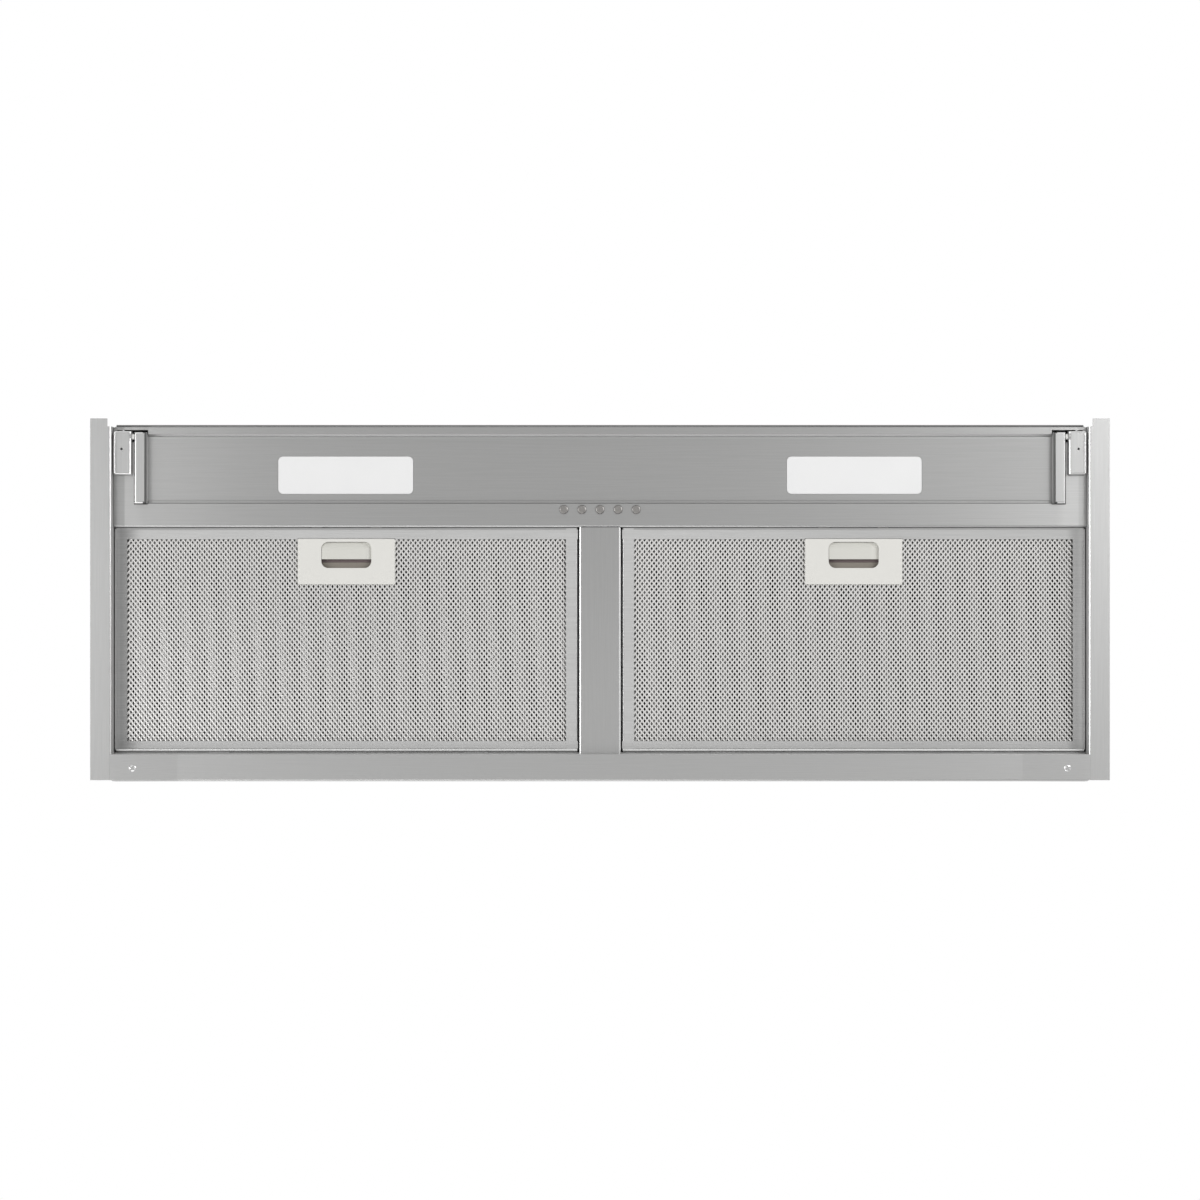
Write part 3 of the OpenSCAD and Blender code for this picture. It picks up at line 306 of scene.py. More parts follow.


# Steel brushed along an axis: fine streaks in colour, gloss and bump, a highlight drawn out
# across the streaks, and a painted highlight on the bends, a brighter colour with a lower roughness.
# Behind the y given as the last but one argument, the painted highlight on the bends fades out.
# Edges nearer to the middle than the x given last get painted shade and no painted highlight.
# The bands of painted light and shade are given as for the painting function above.
def brushed(name, axis, colour, rough, anisotropy, highlight_level, painted_light=(), highlight_end_y=None, shaded_edge_to=None):
    t = new_material(name)
    stretch = [1.0, 1.0, 1.0]
    stretch[axis] = STREAK_STRETCH
    fine = noise(t, STREAK_SCALE, 3, stretch)
    streak = t.ramp(fine, *BLOTCH_RANGE, 0, 1)
    blotch = t.ramp(noise(t, BLOTCH_SCALE), *BLOTCH_RANGE, 0, 1)
    level = t.math("ADD", t.product(streak, STREAK_SHARE), t.product(blotch, BLOTCH_SHARE))
    # Painted highlight on the bends, a little weaker where the blotches are dark
    bend_highlight = t.product(bend_mask(t), t.ramp(blotch, 0, 1, LEAST_BEND_HIGHLIGHT, 1))
    x, y, _ = t.split(t.coordinate("Object"))
    if highlight_end_y is not None:
        kept = t.ramp(y, highlight_end_y, highlight_end_y + HIGHLIGHT_FADE_WIDTH, 1, HIGHLIGHT_LEFT_SHARE, smooth=True)
        bend_highlight = t.product(bend_highlight, kept)
    ground = shade(t, level, colour, BRUSHED_CONTRAST)
    # Painted light and shade on the level faces
    if painted_light:
        ground = paint_light_and_shade(t, ground, painted_light)
    # Painted shade on the inner edges of the flap's arms, in place of the highlight
    if shaded_edge_to is not None:
        shaded_edge = t.math("LESS_THAN", t.math("ABSOLUTE", x), shaded_edge_to)
        shaded_edge = t.product(shaded_edge, bend_mask(t, *SHADED_EDGE_BEND))
        bend_highlight = t.product(bend_highlight, t.rest(shaded_edge))
        ground = t.mix(shaded_edge, ground, tint(colour, EDGE_SHADE_TINT))
    gloss = t.ramp(level, 0, 1, rough + BRUSHED_SPREAD, rough - BRUSHED_SPREAD)
    gloss = t.math("SUBTRACT", gloss, t.product(bend_highlight, rough - BEND_HIGHLIGHT_ROUGH))
    gloss = t.math("ADD", gloss, t.product(upright_mask(t), UPRIGHT_ROUGH - rough))
    direction = t.add("ShaderNodeCombineXYZ", {axis: 1}).outputs[0]
    normal = t.add("ShaderNodeNewGeometry").outputs["Normal"]
    surface(t, {"Base Color": t.mix(bend_highlight, ground, tint(BEND_HIGHLIGHT_TINT, highlight_level)), "Roughness": gloss,
                "Metallic": 1, "Anisotropic": anisotropy,
                "Tangent": t.vector("CROSS_PRODUCT", {0: normal, 1: direction}),
                "Normal": bump(t, fine, *BRUSHED_BUMP)})


# Zinc: colour, contrast and lowest and highest roughness of the clean sheet, scales of its
# crystals, stains and bumps, the bumps' strength and distance, and the tint of the painted shade on inner
# faces
ZINC = (0.60, 0.61, 0.62)
ZINC_CONTRAST = 0.08
ZINC_ROUGH = (0.36, 0.50)
CRYSTAL_SCALE, STAIN_SCALE, ZINC_BUMP_SCALE = 170, 14, 700
ZINC_BUMP = (0.08, 0.0001)
INSIDE_SHADE_TINT = 0.16


# Zinc-coated sheet with its crystal pattern; faces that look towards the point inside, in the
# filter chamber or the fan housing, are darkened as painted shade
def galvanised(name, inside=None):
    t = new_material(name)
    voronoi = {"Vector": t.coordinate("Object"), "Scale": CRYSTAL_SCALE}
    crystals = t.add("ShaderNodeTexVoronoi", voronoi).outputs["Color"]
    tone, gloss, _ = t.add("ShaderNodeSeparateColor", {0: crystals}).outputs
    sheet = shade(t, t.average(tone, noise(t, STAIN_SCALE, 4)), ZINC, ZINC_CONTRAST)
    if inside:
        outward = t.vector("SUBTRACT", {0: t.coordinate("Object"), 1: inside})
        facing = t.vector("DOT_PRODUCT", {0: outward, 1: t.coordinate("Normal")})
        # Painted shade on the faces inside
        inside_shade = t.math("LESS_THAN", facing, 0.0)
        sheet = t.mix(inside_shade, sheet, tint(ZINC, INSIDE_SHADE_TINT))
    surface(t, {"Base Color": sheet, "Roughness": t.ramp(gloss, 0, 1, *ZINC_ROUGH), "Metallic": 1,
                "Normal": bump(t, noise(t, ZINC_BUMP_SCALE), *ZINC_BUMP)})


# Plated metal: scale of the grain, contrast, change of the roughness over the grain, bumps
PLATED_GRAIN = 900
PLATED_CONTRAST = 0.1
PLATED_SPREAD = (-0.04, 0.06)
PLATED_BUMP = (0.1, 0.00005)


# Turned or plated metal with a fine grain
def plated(name, colour, rough, painted_light=()):
    t = new_material(name)
    level = noise(t, PLATED_GRAIN, 3)
    coat = shade(t, level, colour, PLATED_CONTRAST)
    # Painted light and shade on the level faces
    if painted_light:
        coat = paint_light_and_shade(t, coat, painted_light)
    gloss = t.ramp(level, *GRAIN_RANGE, *[rough + change for change in PLATED_SPREAD])
    surface(t, {"Base Color": coat, "Roughness": gloss, "Metallic": 1,
                "Normal": bump(t, level, *PLATED_BUMP)})


# Plastic: scales of grain and blotches, contrast, spread of the roughness, specular level, bumps
PLASTIC_GRAIN, PLASTIC_BLOTCH = 1500, 30
PLASTIC_CONTRAST = 0.035
PLASTIC_SPREAD = 0.05
PLASTIC_SPECULAR = 0.35
PLASTIC_BUMP = (0.25, 0.00008)


# Moulded plastic, or enamel with a coarser grain
def plastic(name, colour, rough, grain=PLASTIC_GRAIN):
    t = new_material(name)
    fine = noise(t, grain)
    level = t.average(fine, noise(t, PLASTIC_BLOTCH, 3))
    gloss = t.ramp(level, *GRAIN_RANGE, rough + PLASTIC_SPREAD, rough - PLASTIC_SPREAD)
    surface(t, {"Base Color": shade(t, level, colour, PLASTIC_CONTRAST), "Roughness": gloss,
                "Specular IOR Level": PLASTIC_SPECULAR, "Normal": bump(t, fine, *PLASTIC_BUMP)})


# Painted light and shade of the front panel, the flap, the side walls, the centre bar, the rear strip,
# the filter frames and the mesh, as bands for the painting function above: painted shadows of the side walls
# on the flanges and corner plates beside them, lighter and darker ends, and a painted highlight along the
# flap's front edge
PANEL_PAINTED_LIGHT = ((0, -0.41, -0.28, 0.12, 0), (0, 0.28, 0.41, 0, 0.06), (0, -0.412, -0.402, 0.05, 0),
              (0, 0.402, 0.412, 0, 0.08), (0, -0.4212, -0.4196, -0.27, 0), (0, 0.4225, 0.424, 0, -0.12))
FLAP_PAINTED_LIGHT = ((0, -0.41, -0.28, 0.11, 0), (0, 0.2, 0.41, 0, -0.06), (1, -0.1455, -0.1425, 0.5, 0))
SIDE_PAINTED_LIGHT = ((0, -0.42, 0.42, -0.02, 0.06),)
BAR_PAINTED_LIGHT = ((1, -0.0825, 0.12, -0.13, 0),)
STRIP_PAINTED_LIGHT = ((0, 0, 0.4, 0, -0.03),)
FRAME_PAINTED_LIGHT = ((0, -0.4225, -0.404, -0.38, 0), (0, -0.4295, -0.4235, 0.35, 0), (0, 0.05, 0.30, 0, -0.08),
              (0, 0.412, 0.419, 0, -0.15), (0, 0.421, 0.4275, 0, 0.28))
MESH_PAINTED_LIGHT = ((0, -0.3, 0.05, -0.11, 0),)
STEEL = (0.46, 0.46, 0.457)
# Brushed steels: name, axis of the streaks, tint, roughness, anisotropy, level of the painted highlight on
# the bends, painted light and shade
STEELS = (
    ("steel_x", 0, 1, 0.42, 0.4, 0.5, PANEL_PAINTED_LIGHT),
    ("steel_flap", 0, 1, 0.42, 0.4, 0.5, FLAP_PAINTED_LIGHT),
    ("steel_strip", 0, 1.12, 0.42, 0.3, 0.5, STRIP_PAINTED_LIGHT),
    ("steel_frame", 0, 1.25, 0.75, 0.1, 0.6, FRAME_PAINTED_LIGHT),
    # The next three are copies of the steel: a darker one that paints the shade along the hood's front edge,
    # a darker one that paints shade on the filters' hems in the slots, and a lighter one that paints a
    # highlight on the filters' rear fold
    ("steel_edge_shade", 0, 0.42, 0.6, 0.1, 0.25, ()),
    ("steel_hem_shade", 0, 0.85, 0.7, 0.1, 0.45, ()),
    ("steel_fold_highlight", 0, 1.75, 0.6, 0.1, 0.85, ()),
    ("steel_dull", 0, 1, 0.7, 0.1, 0.46, ()),
    ("steel_y", 1, 1, 0.44, 0.1, 0.85, ()),
    ("steel_bar", 1, 1, 0.44, 0.1, 0.85, BAR_PAINTED_LIGHT),
)
# x up to which the edges of the flap's arms get painted shade and no painted highlight
ARM_SHADED_EDGE = 0.4035
# Plated metals and plastics: name, colour, roughness
PLATED = (
    ("screw_steel", (0.84, 0.84, 0.84), 0.27),
    ("button_metal", (0.31, 0.30, 0.29), 0.42),
    # A darker copy of the mesh metal for the middle layer, painted shade of the chamber behind the front
    # layer
    ("inner_mesh_shade", (0.45, 0.445, 0.44), 0.4),
)
PLASTICS = (
    ("diffuser", (0.74, 0.74, 0.74), 0.4),
    ("board", (0.82, 0.82, 0.8), 0.5),
    ("handle_plastic", (0.65, 0.642, 0.611), 0.42),
    ("latch_plastic", (0.58, 0.575, 0.535), 0.42),
    ("black_plastic", (0.045, 0.045, 0.05), 0.4),
    ("grey_plastic", (0.2, 0.21, 0.22), 0.45),
    # The latch guide and its bumper: dark colours that paint the shade and the contact shadow in the latch
    # case's opening
    ("guide_shade_plastic", (0.27, 0.245, 0.21), 0.5),
    ("bumper_shadow_rubber", (0.15, 0.115, 0.115), 0.7),
    ("white_plastic", (0.82, 0.82, 0.8), 0.35),
)


def make_materials():
    for name, axis, share, rough, anisotropy, highlight_level, painted_light in STEELS:
        brushed(name, axis, tint(STEEL, share), rough, anisotropy, highlight_level, painted_light)
    # The arms' inner edges get painted shade
    brushed("steel_arm", 1, STEEL, 0.44, 0.1, 0.85, shaded_edge_to=ARM_SHADED_EDGE)
    # The side walls' painted highlight on the bends fades out behind the rear strip's front edge
    brushed("steel_side", 1, STEEL, 0.44, 0.1, 0.75, SIDE_PAINTED_LIGHT, highlight_end_y=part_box("rear_strip")[0].y)
    galvanised("zinc_sheet")
    galvanised("zinc_shell", (0, 0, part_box("top_shell")[1].z / 2))
    low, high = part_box("fan_housing")
    galvanised("zinc_housing", (0, (low.y + high.y) / 2, (low.z + high.z) / 2))
    for row in PLATED:
        plated(*row)
    plated("mesh_metal", (0.81, 0.80, 0.785), 0.44, MESH_PAINTED_LIGHT)
    for row in PLASTICS:
        plastic(*row)
    plastic("motor_enamel", (0.16, 0.16, 0.17), 0.35, grain=500)


MATERIAL_OF = {
    "steel_x": ["front_panel"],
    "steel_flap": ["lamp_flap"],
    "steel_strip": ["rear_strip"],
    "steel_side": ["side_panel_left", "side_panel_right"],
    "steel_frame": ["filter_frame_left", "filter_frame_right"],
    "steel_y": ["hinge_brackets"],
    "steel_bar": ["centre_bar"],
    "steel_arm": ["flap_arms"],
    "steel_dull": ["rear_ledges"],
    "zinc_shell": ["top_shell", "inlet_rings"],
    "zinc_housing": ["fan_housing"],
    "zinc_sheet": ["front_divider", "control_box", "box_cover", "motor_bracket", "lamp_housing_left",
                   "lamp_housing_right"],
    "screw_steel": ["strip_screws", "housing_screws", "damper_pin"],
    "diffuser": ["lamp_lens_left", "lamp_lens_right"],
    "board": ["lamp_board_left", "lamp_board_right"],
    "button_metal": ["button_%d" % i for i in range(1, 6)],
    "mesh_metal": ["filter_mesh_left", "filter_mesh_right"],
    "handle_plastic": ["filter_handle_left", "filter_handle_right"],
    "latch_plastic": ["filter_latch_left", "filter_latch_right"],
    "black_plastic": ["switch_block", "cable_gland", "impeller"],
    "grey_plastic": ["scroll_left", "scroll_right", "outlet_collar", "damper_front", "damper_rear"],
    "white_plastic": ["capacitor", "hinge_pins"],
    "motor_enamel": ["motor"],
}


def dress_nodes():
    for material, names in MATERIAL_OF.items():
        for name in names:
            mesh = NODES[name].data
            mesh.materials.clear()
            mesh.materials.append(MATERIALS[material])


def link_piece(name, mesh, body, material):
    mesh.materials.append(MATERIALS[material])
    piece = add_object(name, mesh)
    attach(piece, body)
    return piece


# Expanded metal: rhombic bonds in staggered rows, joined by strands that share their corners.
# The right and rear corners of a bond stand higher than the other two, as slit and stretched
# sheet does, so that one family of strands faces the light and the other climbs away from it.
# place gives the height of the sheet's middle at x; skip leaves out what a cut-out takes.
def expanded_mesh(name, low, high, pitch, width, relief, thick, place, skip):
    step_x, step_y = pitch[0] / 2, pitch[1] / 2
    length = hypot(step_x, step_y)
    half_x, half_y = width * step_y / length, width * step_x / length
    columns = int((high[0] - low[0]) / pitch[0]) - 1
    rows = int((high[1] - low[1]) / step_y) - 1
    start_x = (low[0] + high[0] - columns * pitch[0]) / 2
    start_y = (low[1] + high[1] - (rows - 1) * step_y) / 2
    vertices, faces, bonds = [], [], {}
    for j in range(rows):
        for i in range(columns + 1 - j % 2):
            x, y = start_x + (i + 0.5 * (j % 2)) * pitch[0], start_y + j * step_y
            if skip(x, y):
                continue
            bonds[i, j] = len(vertices)
            corners = ((half_x, 0, 1), (0, half_y, 1), (-half_x, 0, -1), (0, -half_y, -1))
            for up in (0, 1):
                for dx, dy, rise in corners:
                    z = place(x + dx) + rise * relief / 2 + (up - 0.5) * thick
                    vertices.append((x + dx, y + dy, z))

    def slab(corners):
        faces.append(corners)
        faces.append([c + 4 for c in reversed(corners)])

    def wall(a, b):
        faces.append([b, a, a + 4, b + 4])

    right, rear, left, front = range(4)
    for (i, j), first in bonds.items():
        slab([first + right, first + front, first + left, first + rear])
        back_left = bonds.get((i - 1 + j % 2, j + 1))
        back_right = bonds.get((i + j % 2, j + 1))
        if back_right is not None:
            slab([first + rear, back_right + left, back_right + front, first + right])
            wall(first + rear, back_right + left)
            wall(back_right + front, first + right)
        else:
            wall(first + rear, first + right)
        if back_left is not None:
            slab([first + left, back_left + front, back_left + right, first + rear])
            wall(first + left, back_left + front)
            wall(back_left + right, first + rear)
        else:
            wall(first + left, first + rear)
        if bonds.get((i + j % 2, j - 1)) is None:
            wall(first + right, first + front)
        if bonds.get((i - 1 + j % 2, j - 1)) is None:
            wall(first + front, first + left)
    mesh = bpy.data.meshes.new(name)
    mesh.from_pydata(vertices, [], faces)
    mesh.validate()
    return mesh


# Layers of expanded metal: name, pitch, strand width, relief, thickness, height above the
# solid's lower face, wave height, material
MESH_LAYERS = (
    ("front", (0.0042, 0.00517), 0.0013, 0.0006, 0.0004, 0.0007, 0.0, "mesh_metal"),
    # The middle layer's metal is darker, as painted shade
    ("middle", (0.00527, 0.00533), 0.00115, 0.0005, 0.0004, 0.0040, 0.0008, "inner_mesh_shade"),
)
WAVE_LENGTH = 0.0207
# Latch case in x and y, and the clearance of the cut-out round it in pitches
HANDLE_CASE = (0.0798, 0.0374)
CUT_CLEARANCE = (0.12, 0.4)


def make_filter_meshes():
    for side, _ in SIDES:
        low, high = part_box("filter_mesh_" + side)
        handle_low, handle_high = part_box("filter_handle_" + side)
        middle = (handle_low.x + handle_high.x) / 2
        for name, pitch, width, relief, thick, height, wave, metal in MESH_LAYERS:
            half = HANDLE_CASE[0] / 2 + CUT_CLEARANCE[0] * pitch[0]
            rear = handle_low.y + HANDLE_CASE[1] + CUT_CLEARANCE[1] * pitch[1]

            def skip(x, y):
                return abs(x - middle) < half and y < rear

            def place(x):
                return low.z + height + wave * cos(tau * (x - middle) / WAVE_LENGTH)

            title = "expanded_mesh_%s_%s" % (name, side)
            mesh = expanded_mesh(title, low, high, pitch, width, relief, thick, place, skip)
            piece = link_piece(title, mesh, "filter_" + side, metal)
            if name == "front":
                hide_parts("filter_mesh_" + side)


# Faces between rings of equal length, and at the first and the last ring
def join_rings(bm, rings):
    count = len(rings[0])
    for a, b in zip(rings, rings[1:]):
        for i in range(count):
            after = (i + 1) % count
            bm.faces.new((a[i], a[after], b[after], b[i]))
    bm.faces.new(rings[0])
    bm.faces.new(rings[-1])


# A closed bar with the given outline, in y and z for axis 0, x and z for 1 or x and y for 2
def extrude_outline(bm, axis, outline, start, end):
    rings = []
    for along in (start, end):
        ring = []
        for first, second in outline:
            place = [first, second]
            place.insert(axis, along)
            ring.append(bm.verts.new(place))
        rings.append(ring)
    join_rings(bm, rings)


def finish_mesh(name, bm):
    mesh = bpy.data.meshes.new(name)
    bmesh.ops.recalc_face_normals(bm, faces=bm.faces)
    bm.to_mesh(mesh)
    bm.free()
    return mesh


# Outline of a bar between two opposite corners, with rounded edges
def round_outline(first, opposite, radius, steps=4):
    low = [min(pair) for pair in zip(first, opposite)]
    high = [max(pair) for pair in zip(first, opposite)]
    points = []
    corners = ((high[0], high[1], 0), (low[0], high[1], 90), (low[0], low[1], 180), (high[0], low[1], 270))
    for a, b, turn in corners:
        centre_a = a - radius if a == high[0] else a + radius
        centre_b = b - radius if b == high[1] else b + radius
        for k in range(steps + 1):
            angle = radians(turn + 90 * k / steps)
            points.append((centre_a + radius * cos(angle), centre_b + radius * sin(angle)))
    return points


# A piece that is one bar, with its outline from round_outline and its ends at span
def link_bar(name, axis, outline, span, body, material):
    bm = bmesh.new()
    extrude_outline(bm, axis, outline, *span)
    link_piece(name, finish_mesh(name, bm), body, material)


# Hems that close most of the slots round the flap and the filters, clear of their swing: how
# far a hem reaches out, how far above the sheet's face it starts, its height, how far it laps
# over the sheet, and the radius of its edges
FLAP_HEM = (0.0010, 0.0001, 0.0025, 0.0012, 0.0002)
FRONT_HEM = (0.0004, 0.0001, 0.0013, 0.0012, 0.0001)
REAR_HEM = (0.0018, 0.0017, 0.0020, 0.0012, 0.0004)
REAR_FOLD = (0.0006, -0.00003, 0.0016, 0.0009, 0.0003)
SIDE_HEM = (0.0005, 0.0002, 0.0016, 0.0012, 0.0002)
FLAP_HEM_INSET = 0.0098
FILTER_CORNER = 0.0006
FILTER_REAR_GAP = 0.0033
# Folded front edge: reach in front of the panel, size, half length, radius
FRONT_EDGE = (0.0008, 0.0015, 0.4275, 0.0007)
# How far a skin lies below the face that it covers
SKIN = 0.00003


# Outline of a hem at an edge, outward being -1 or 1
def hem_outline(hem, edge, outward, floor):
    reach, up, height, lap, radius = hem
    return round_outline((edge - outward * lap, floor + up),
                         (edge + outward * reach, floor + up + height), radius)


def make_hems():
    low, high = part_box("lamp_flap")
    span = low.x + FLAP_HEM_INSET, high.x - FLAP_HEM_INSET
    link_bar("flap_hem", 0, hem_outline(FLAP_HEM, high.y, 1, low.z), span, "lamp_flap_body",
             "steel_flap")
    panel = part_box("front_panel")[0]
    reach, size, half, radius = FRONT_EDGE
    outline = round_outline((panel.y - reach, panel.z - SKIN),
                            (panel.y - reach + size, panel.z + size), radius)
    # The front edge is in a darker copy of the steel, painted shade along the hood's front edge
    link_bar("front_edge", 0, outline, (-half, half), "hood", "steel_edge_shade")
    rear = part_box("rear_strip")[0].y - FILTER_REAR_GAP
    for side, sign in SIDES:
        low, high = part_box("filter_frame_" + side)
        across = low.x + FILTER_CORNER, high.x - FILTER_CORNER
        along = low.y + FILTER_CORNER, rear - FILTER_CORNER
        outer = high.x if sign > 0 else low.x
        # The front and rear hems are in a darker copy of the steel, painted shade in the slots; the rear
        # fold is in a lighter copy, a painted highlight
        hems = (("front_hem_", 0, FRONT_HEM, low.y, -1, across, "steel_hem_shade"),
                ("rear_hem_", 0, REAR_HEM, rear, 1, across, "steel_hem_shade"),
                ("rear_fold_", 0, REAR_FOLD, rear, 1, across, "steel_fold_highlight"),
                ("side_hem_", 1, SIDE_HEM, outer, sign, along, "steel_frame"))
        for name, axis, hem, edge, outward, span, metal in hems:
            link_bar(name + side, axis, hem_outline(hem, edge, outward, low.z), span, "filter_" + side,
                     metal)


# Seal: depth below the ledges, thickness, lap over the strip, inset of its ends, radius
SEAL = (0.0003, 0.00025, 0.0001, 0.0002, 0.00008)
# Fold along the strip's front edge: reach, depth, thickness, radius
STRIP_FOLD = (0.0002, 0.0025, 0.0021, 0.0003)
# x where the fold ends and the corner fillings start
FILL_START = 0.372


# Thin seal under the ledges, which closes the rest of the slot behind the filters, and the fold
# of the rear strip
def make_seal():
    low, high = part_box("rear_strip")
    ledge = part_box("rear_ledges")[0]
    below, thick, lap, inset, radius = SEAL
    outline = round_outline((ledge.y, ledge.z - below), (low.y + lap, ledge.z - below + thick), radius, 2)
    link_bar("slot_seal", 0, outline, (low.x + inset, high.x - inset), "hood", "steel_dull")
    reach, deep, thick, radius = STRIP_FOLD
    outline = round_outline((low.y - reach, low.z - SKIN), (low.y + deep, low.z + thick), radius)
    link_bar("strip_fold", 0, outline, (-FILL_START, FILL_START), "hood", "steel_strip")


# Guide: insets in x and y, lower and upper level above the case's face, radius
GUIDE = ((0.005, 0.0035), 0.0052, 0.0064, 0.0003)
GUIDE_REAR_INSET = 0.002
# Bumper: inset in x, lap over the pad in y, depth, thickness, radius
BUMPER = (0.0085, 0.0004, 0.0032, 0.0005, 0.0002)


# Inside of the latch case: the guide on which the latch slides, and the bumper behind the
# finger piece, both in dark colours that paint the shade and the contact shadow in the case's opening
def make_latch_guides():
    for side, _ in SIDES:
        low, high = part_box("filter_handle_" + side)
        latch_low, latch_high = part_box("filter_latch_" + side)
        (inset_x, inset_y), bottom, top, radius = GUIDE
        floor = low.z + bottom
        outline = round_outline((low.y + inset_y, floor),
                                (low.y + HANDLE_CASE[1] - GUIDE_REAR_INSET, low.z + top), radius)
        link_bar("latch_guide_" + side, 0, outline, (low.x + inset_x, high.x - inset_x), "filter_" + side,
                 "guide_shade_plastic")
        inset, lap, deep, thick, radius = BUMPER
        outline = round_outline((latch_high.y - lap, floor - thick),
                                (latch_high.y - lap + deep, floor + radius), radius)
        link_bar("latch_bumper_" + side, 0, outline, (latch_low.x + inset, latch_high.x - inset),
                 "filter_" + side, "bumper_shadow_rubber")


FILL_STEPS = 12
FILL_TOP = 0.0021
# Height of the filling over the flange's face, and how much faster than its length it slopes
FILL_EDGE = (0.00005, 1.02)
# Reach of the filling over the side flange, and the radii of its front and rear edges
FILL_REACH = 0.0019
FILL_RADII = (0.0003, 0.0018)
ROUND_STEPS = 4


# Filling in each rear corner, pressed and ground flush: it slopes from the strip out to the
# side flange, so that the flange and the strip read as one face
def make_corner_fills():
    low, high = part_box("rear_strip")
    side_low, side_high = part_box("side_panel_right")
    flange = side_low.x + FILL_REACH
    front = low.y - STRIP_FOLD[0]
    tight, radius = FILL_RADII
    keep, slope = FILL_EDGE
    for side, sign in SIDES:
        bm = bmesh.new()
        rings = []
        for k in range(FILL_STEPS + 1):
            share = k / FILL_STEPS
            x = FILL_START + (flange - FILL_START) * share
            z = low.z + SKIN - (low.z + SKIN - keep) * min(1, share * slope)
            rear = high.y - SKIN / 3 - (high.y - side_high.y) * max(0, (x - high.x) / (flange - high.x))
            profile = [(front, low.z + FILL_TOP)]
            for turn in range(ROUND_STEPS + 1):
                angle = radians(90 * turn / ROUND_STEPS)
                profile.append((front + tight * (1 - cos(angle)), z + tight * (1 - sin(angle))))
            for turn in range(ROUND_STEPS + 1):
                angle = radians(90 * (1 - turn / ROUND_STEPS))
                profile.append((rear - radius * (1 - cos(angle)), z + radius * (1 - sin(angle))))
            profile.append((rear, low.z + FILL_TOP))
            rings.append([bm.verts.new((sign * x, y, z)) for y, z in profile])
        join_rings(bm, rings)
        name = "corner_fill_" + side
        link_piece(name, finish_mesh(name, bm), "hood", "steel_strip")


# Each latch: a crowned finger pad, its sliding plate and two tongues with bevelled tips
PAD = (0.0437, 0.0150)
PAD_RADIUS = 0.0057
PAD_ROLL = 0.0068
PAD_SINK = 0.0026
# Share of the sink at the right, left and front edge
PAD_SHARES = (1.0, 0.22, 0.75)
PAD_CELLS = (40, 16)
PLATE_LEVEL = (0.0019, 0.0045)
PLATE_RADIUS = 0.0003
TONGUE_LEVEL = (0.0031, 0.0055)
TONGUE_PITCH = 0.053
TONGUE_ROOT = 0.004
TONGUE_BEVEL = (0.0016, 0.0009)
LATCH_ANGLE = 35


# Depth of the pad's skin under its crown at a place counted from the middle and the front
def pad_sink(x, y, width):
    total = 0
    for distance, share in zip((width - x, width + x, y), PAD_SHARES):
        near = max(0, 1 - distance / PAD_ROLL)
        total += PAD_SINK * share * near * near
    return min(total, PAD_SINK)


def pad_shell(bm, middle, front, top, bottom):
    columns, rows = PAD_CELLS
    grid = []
    for j in range(rows + 1):
        y = PAD[1] * j / rows
        near = max(0, PAD_RADIUS - y)
        width = PAD[0] / 2 - PAD_RADIUS + sqrt(PAD_RADIUS ** 2 - near ** 2)
        line = []
        for i in range(columns + 1):
            x = width * (2 * i / columns - 1)
            line.append(bm.verts.new((middle + x, front + y, top + pad_sink(x, y, width))))
        grid.append(line)
    for a, b in zip(grid, grid[1:]):
        for i in range(columns):
            bm.faces.new((a[i], a[i + 1], b[i + 1], b[i]))
    rim = grid[0] + [line[-1] for line in grid[1:]] + grid[-1][-2::-1]
    rim += [line[0] for line in grid[-2:0:-1]]
    back = [bm.verts.new((v.co.x, v.co.y, bottom)) for v in rim]
    for k in range(len(rim)):
        after = (k + 1) % len(rim)
        bm.faces.new((rim[k], rim[after], back[after], back[k]))
    bm.faces.new(back)


def make_latches():
    for side, _ in SIDES:
        low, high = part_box("filter_latch_" + side)
        middle, half = (low.x + high.x) / 2, (high.x - low.x) / 2
        front = high.y - PAD[1]
        plate_low, plate_high = (low.z + level for level in PLATE_LEVEL)
        tongue_low, tongue_high = (low.z + level for level in TONGUE_LEVEL)
        bm = bmesh.new()
        pad_shell(bm, middle, front, low.z, plate_high)
        outline = round_outline((front, plate_low), (high.y, plate_high), PLATE_RADIUS)
        extrude_outline(bm, 0, outline, middle - half, middle + half)
        back, drop = TONGUE_BEVEL
        root = front + TONGUE_ROOT
        tongue = [(root, tongue_low), (root, tongue_high), (low.y + back, tongue_high),
                  (low.y, tongue_high - drop), (low.y, tongue_low)]
        wide = 2 * half - TONGUE_PITCH
        for x in (middle - TONGUE_PITCH / 2, middle + TONGUE_PITCH / 2):
            extrude_outline(bm, 0, tongue, x - wide / 2, x + wide / 2)
        name = "latch_body_" + side
        piece = detail(name, bm, "handle_plastic", "latch_plastic", LATCH_ANGLE, "latch_" + side)
        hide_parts("filter_latch_" + side)


# Two directions square to a normal
def square_axes(normal):
    helper = Vector((0, 1, 0)) if abs(normal.y) < 0.9 else Vector((1, 0, 0))
    first = helper.cross(normal).normalized()
    return first, normal.cross(first)


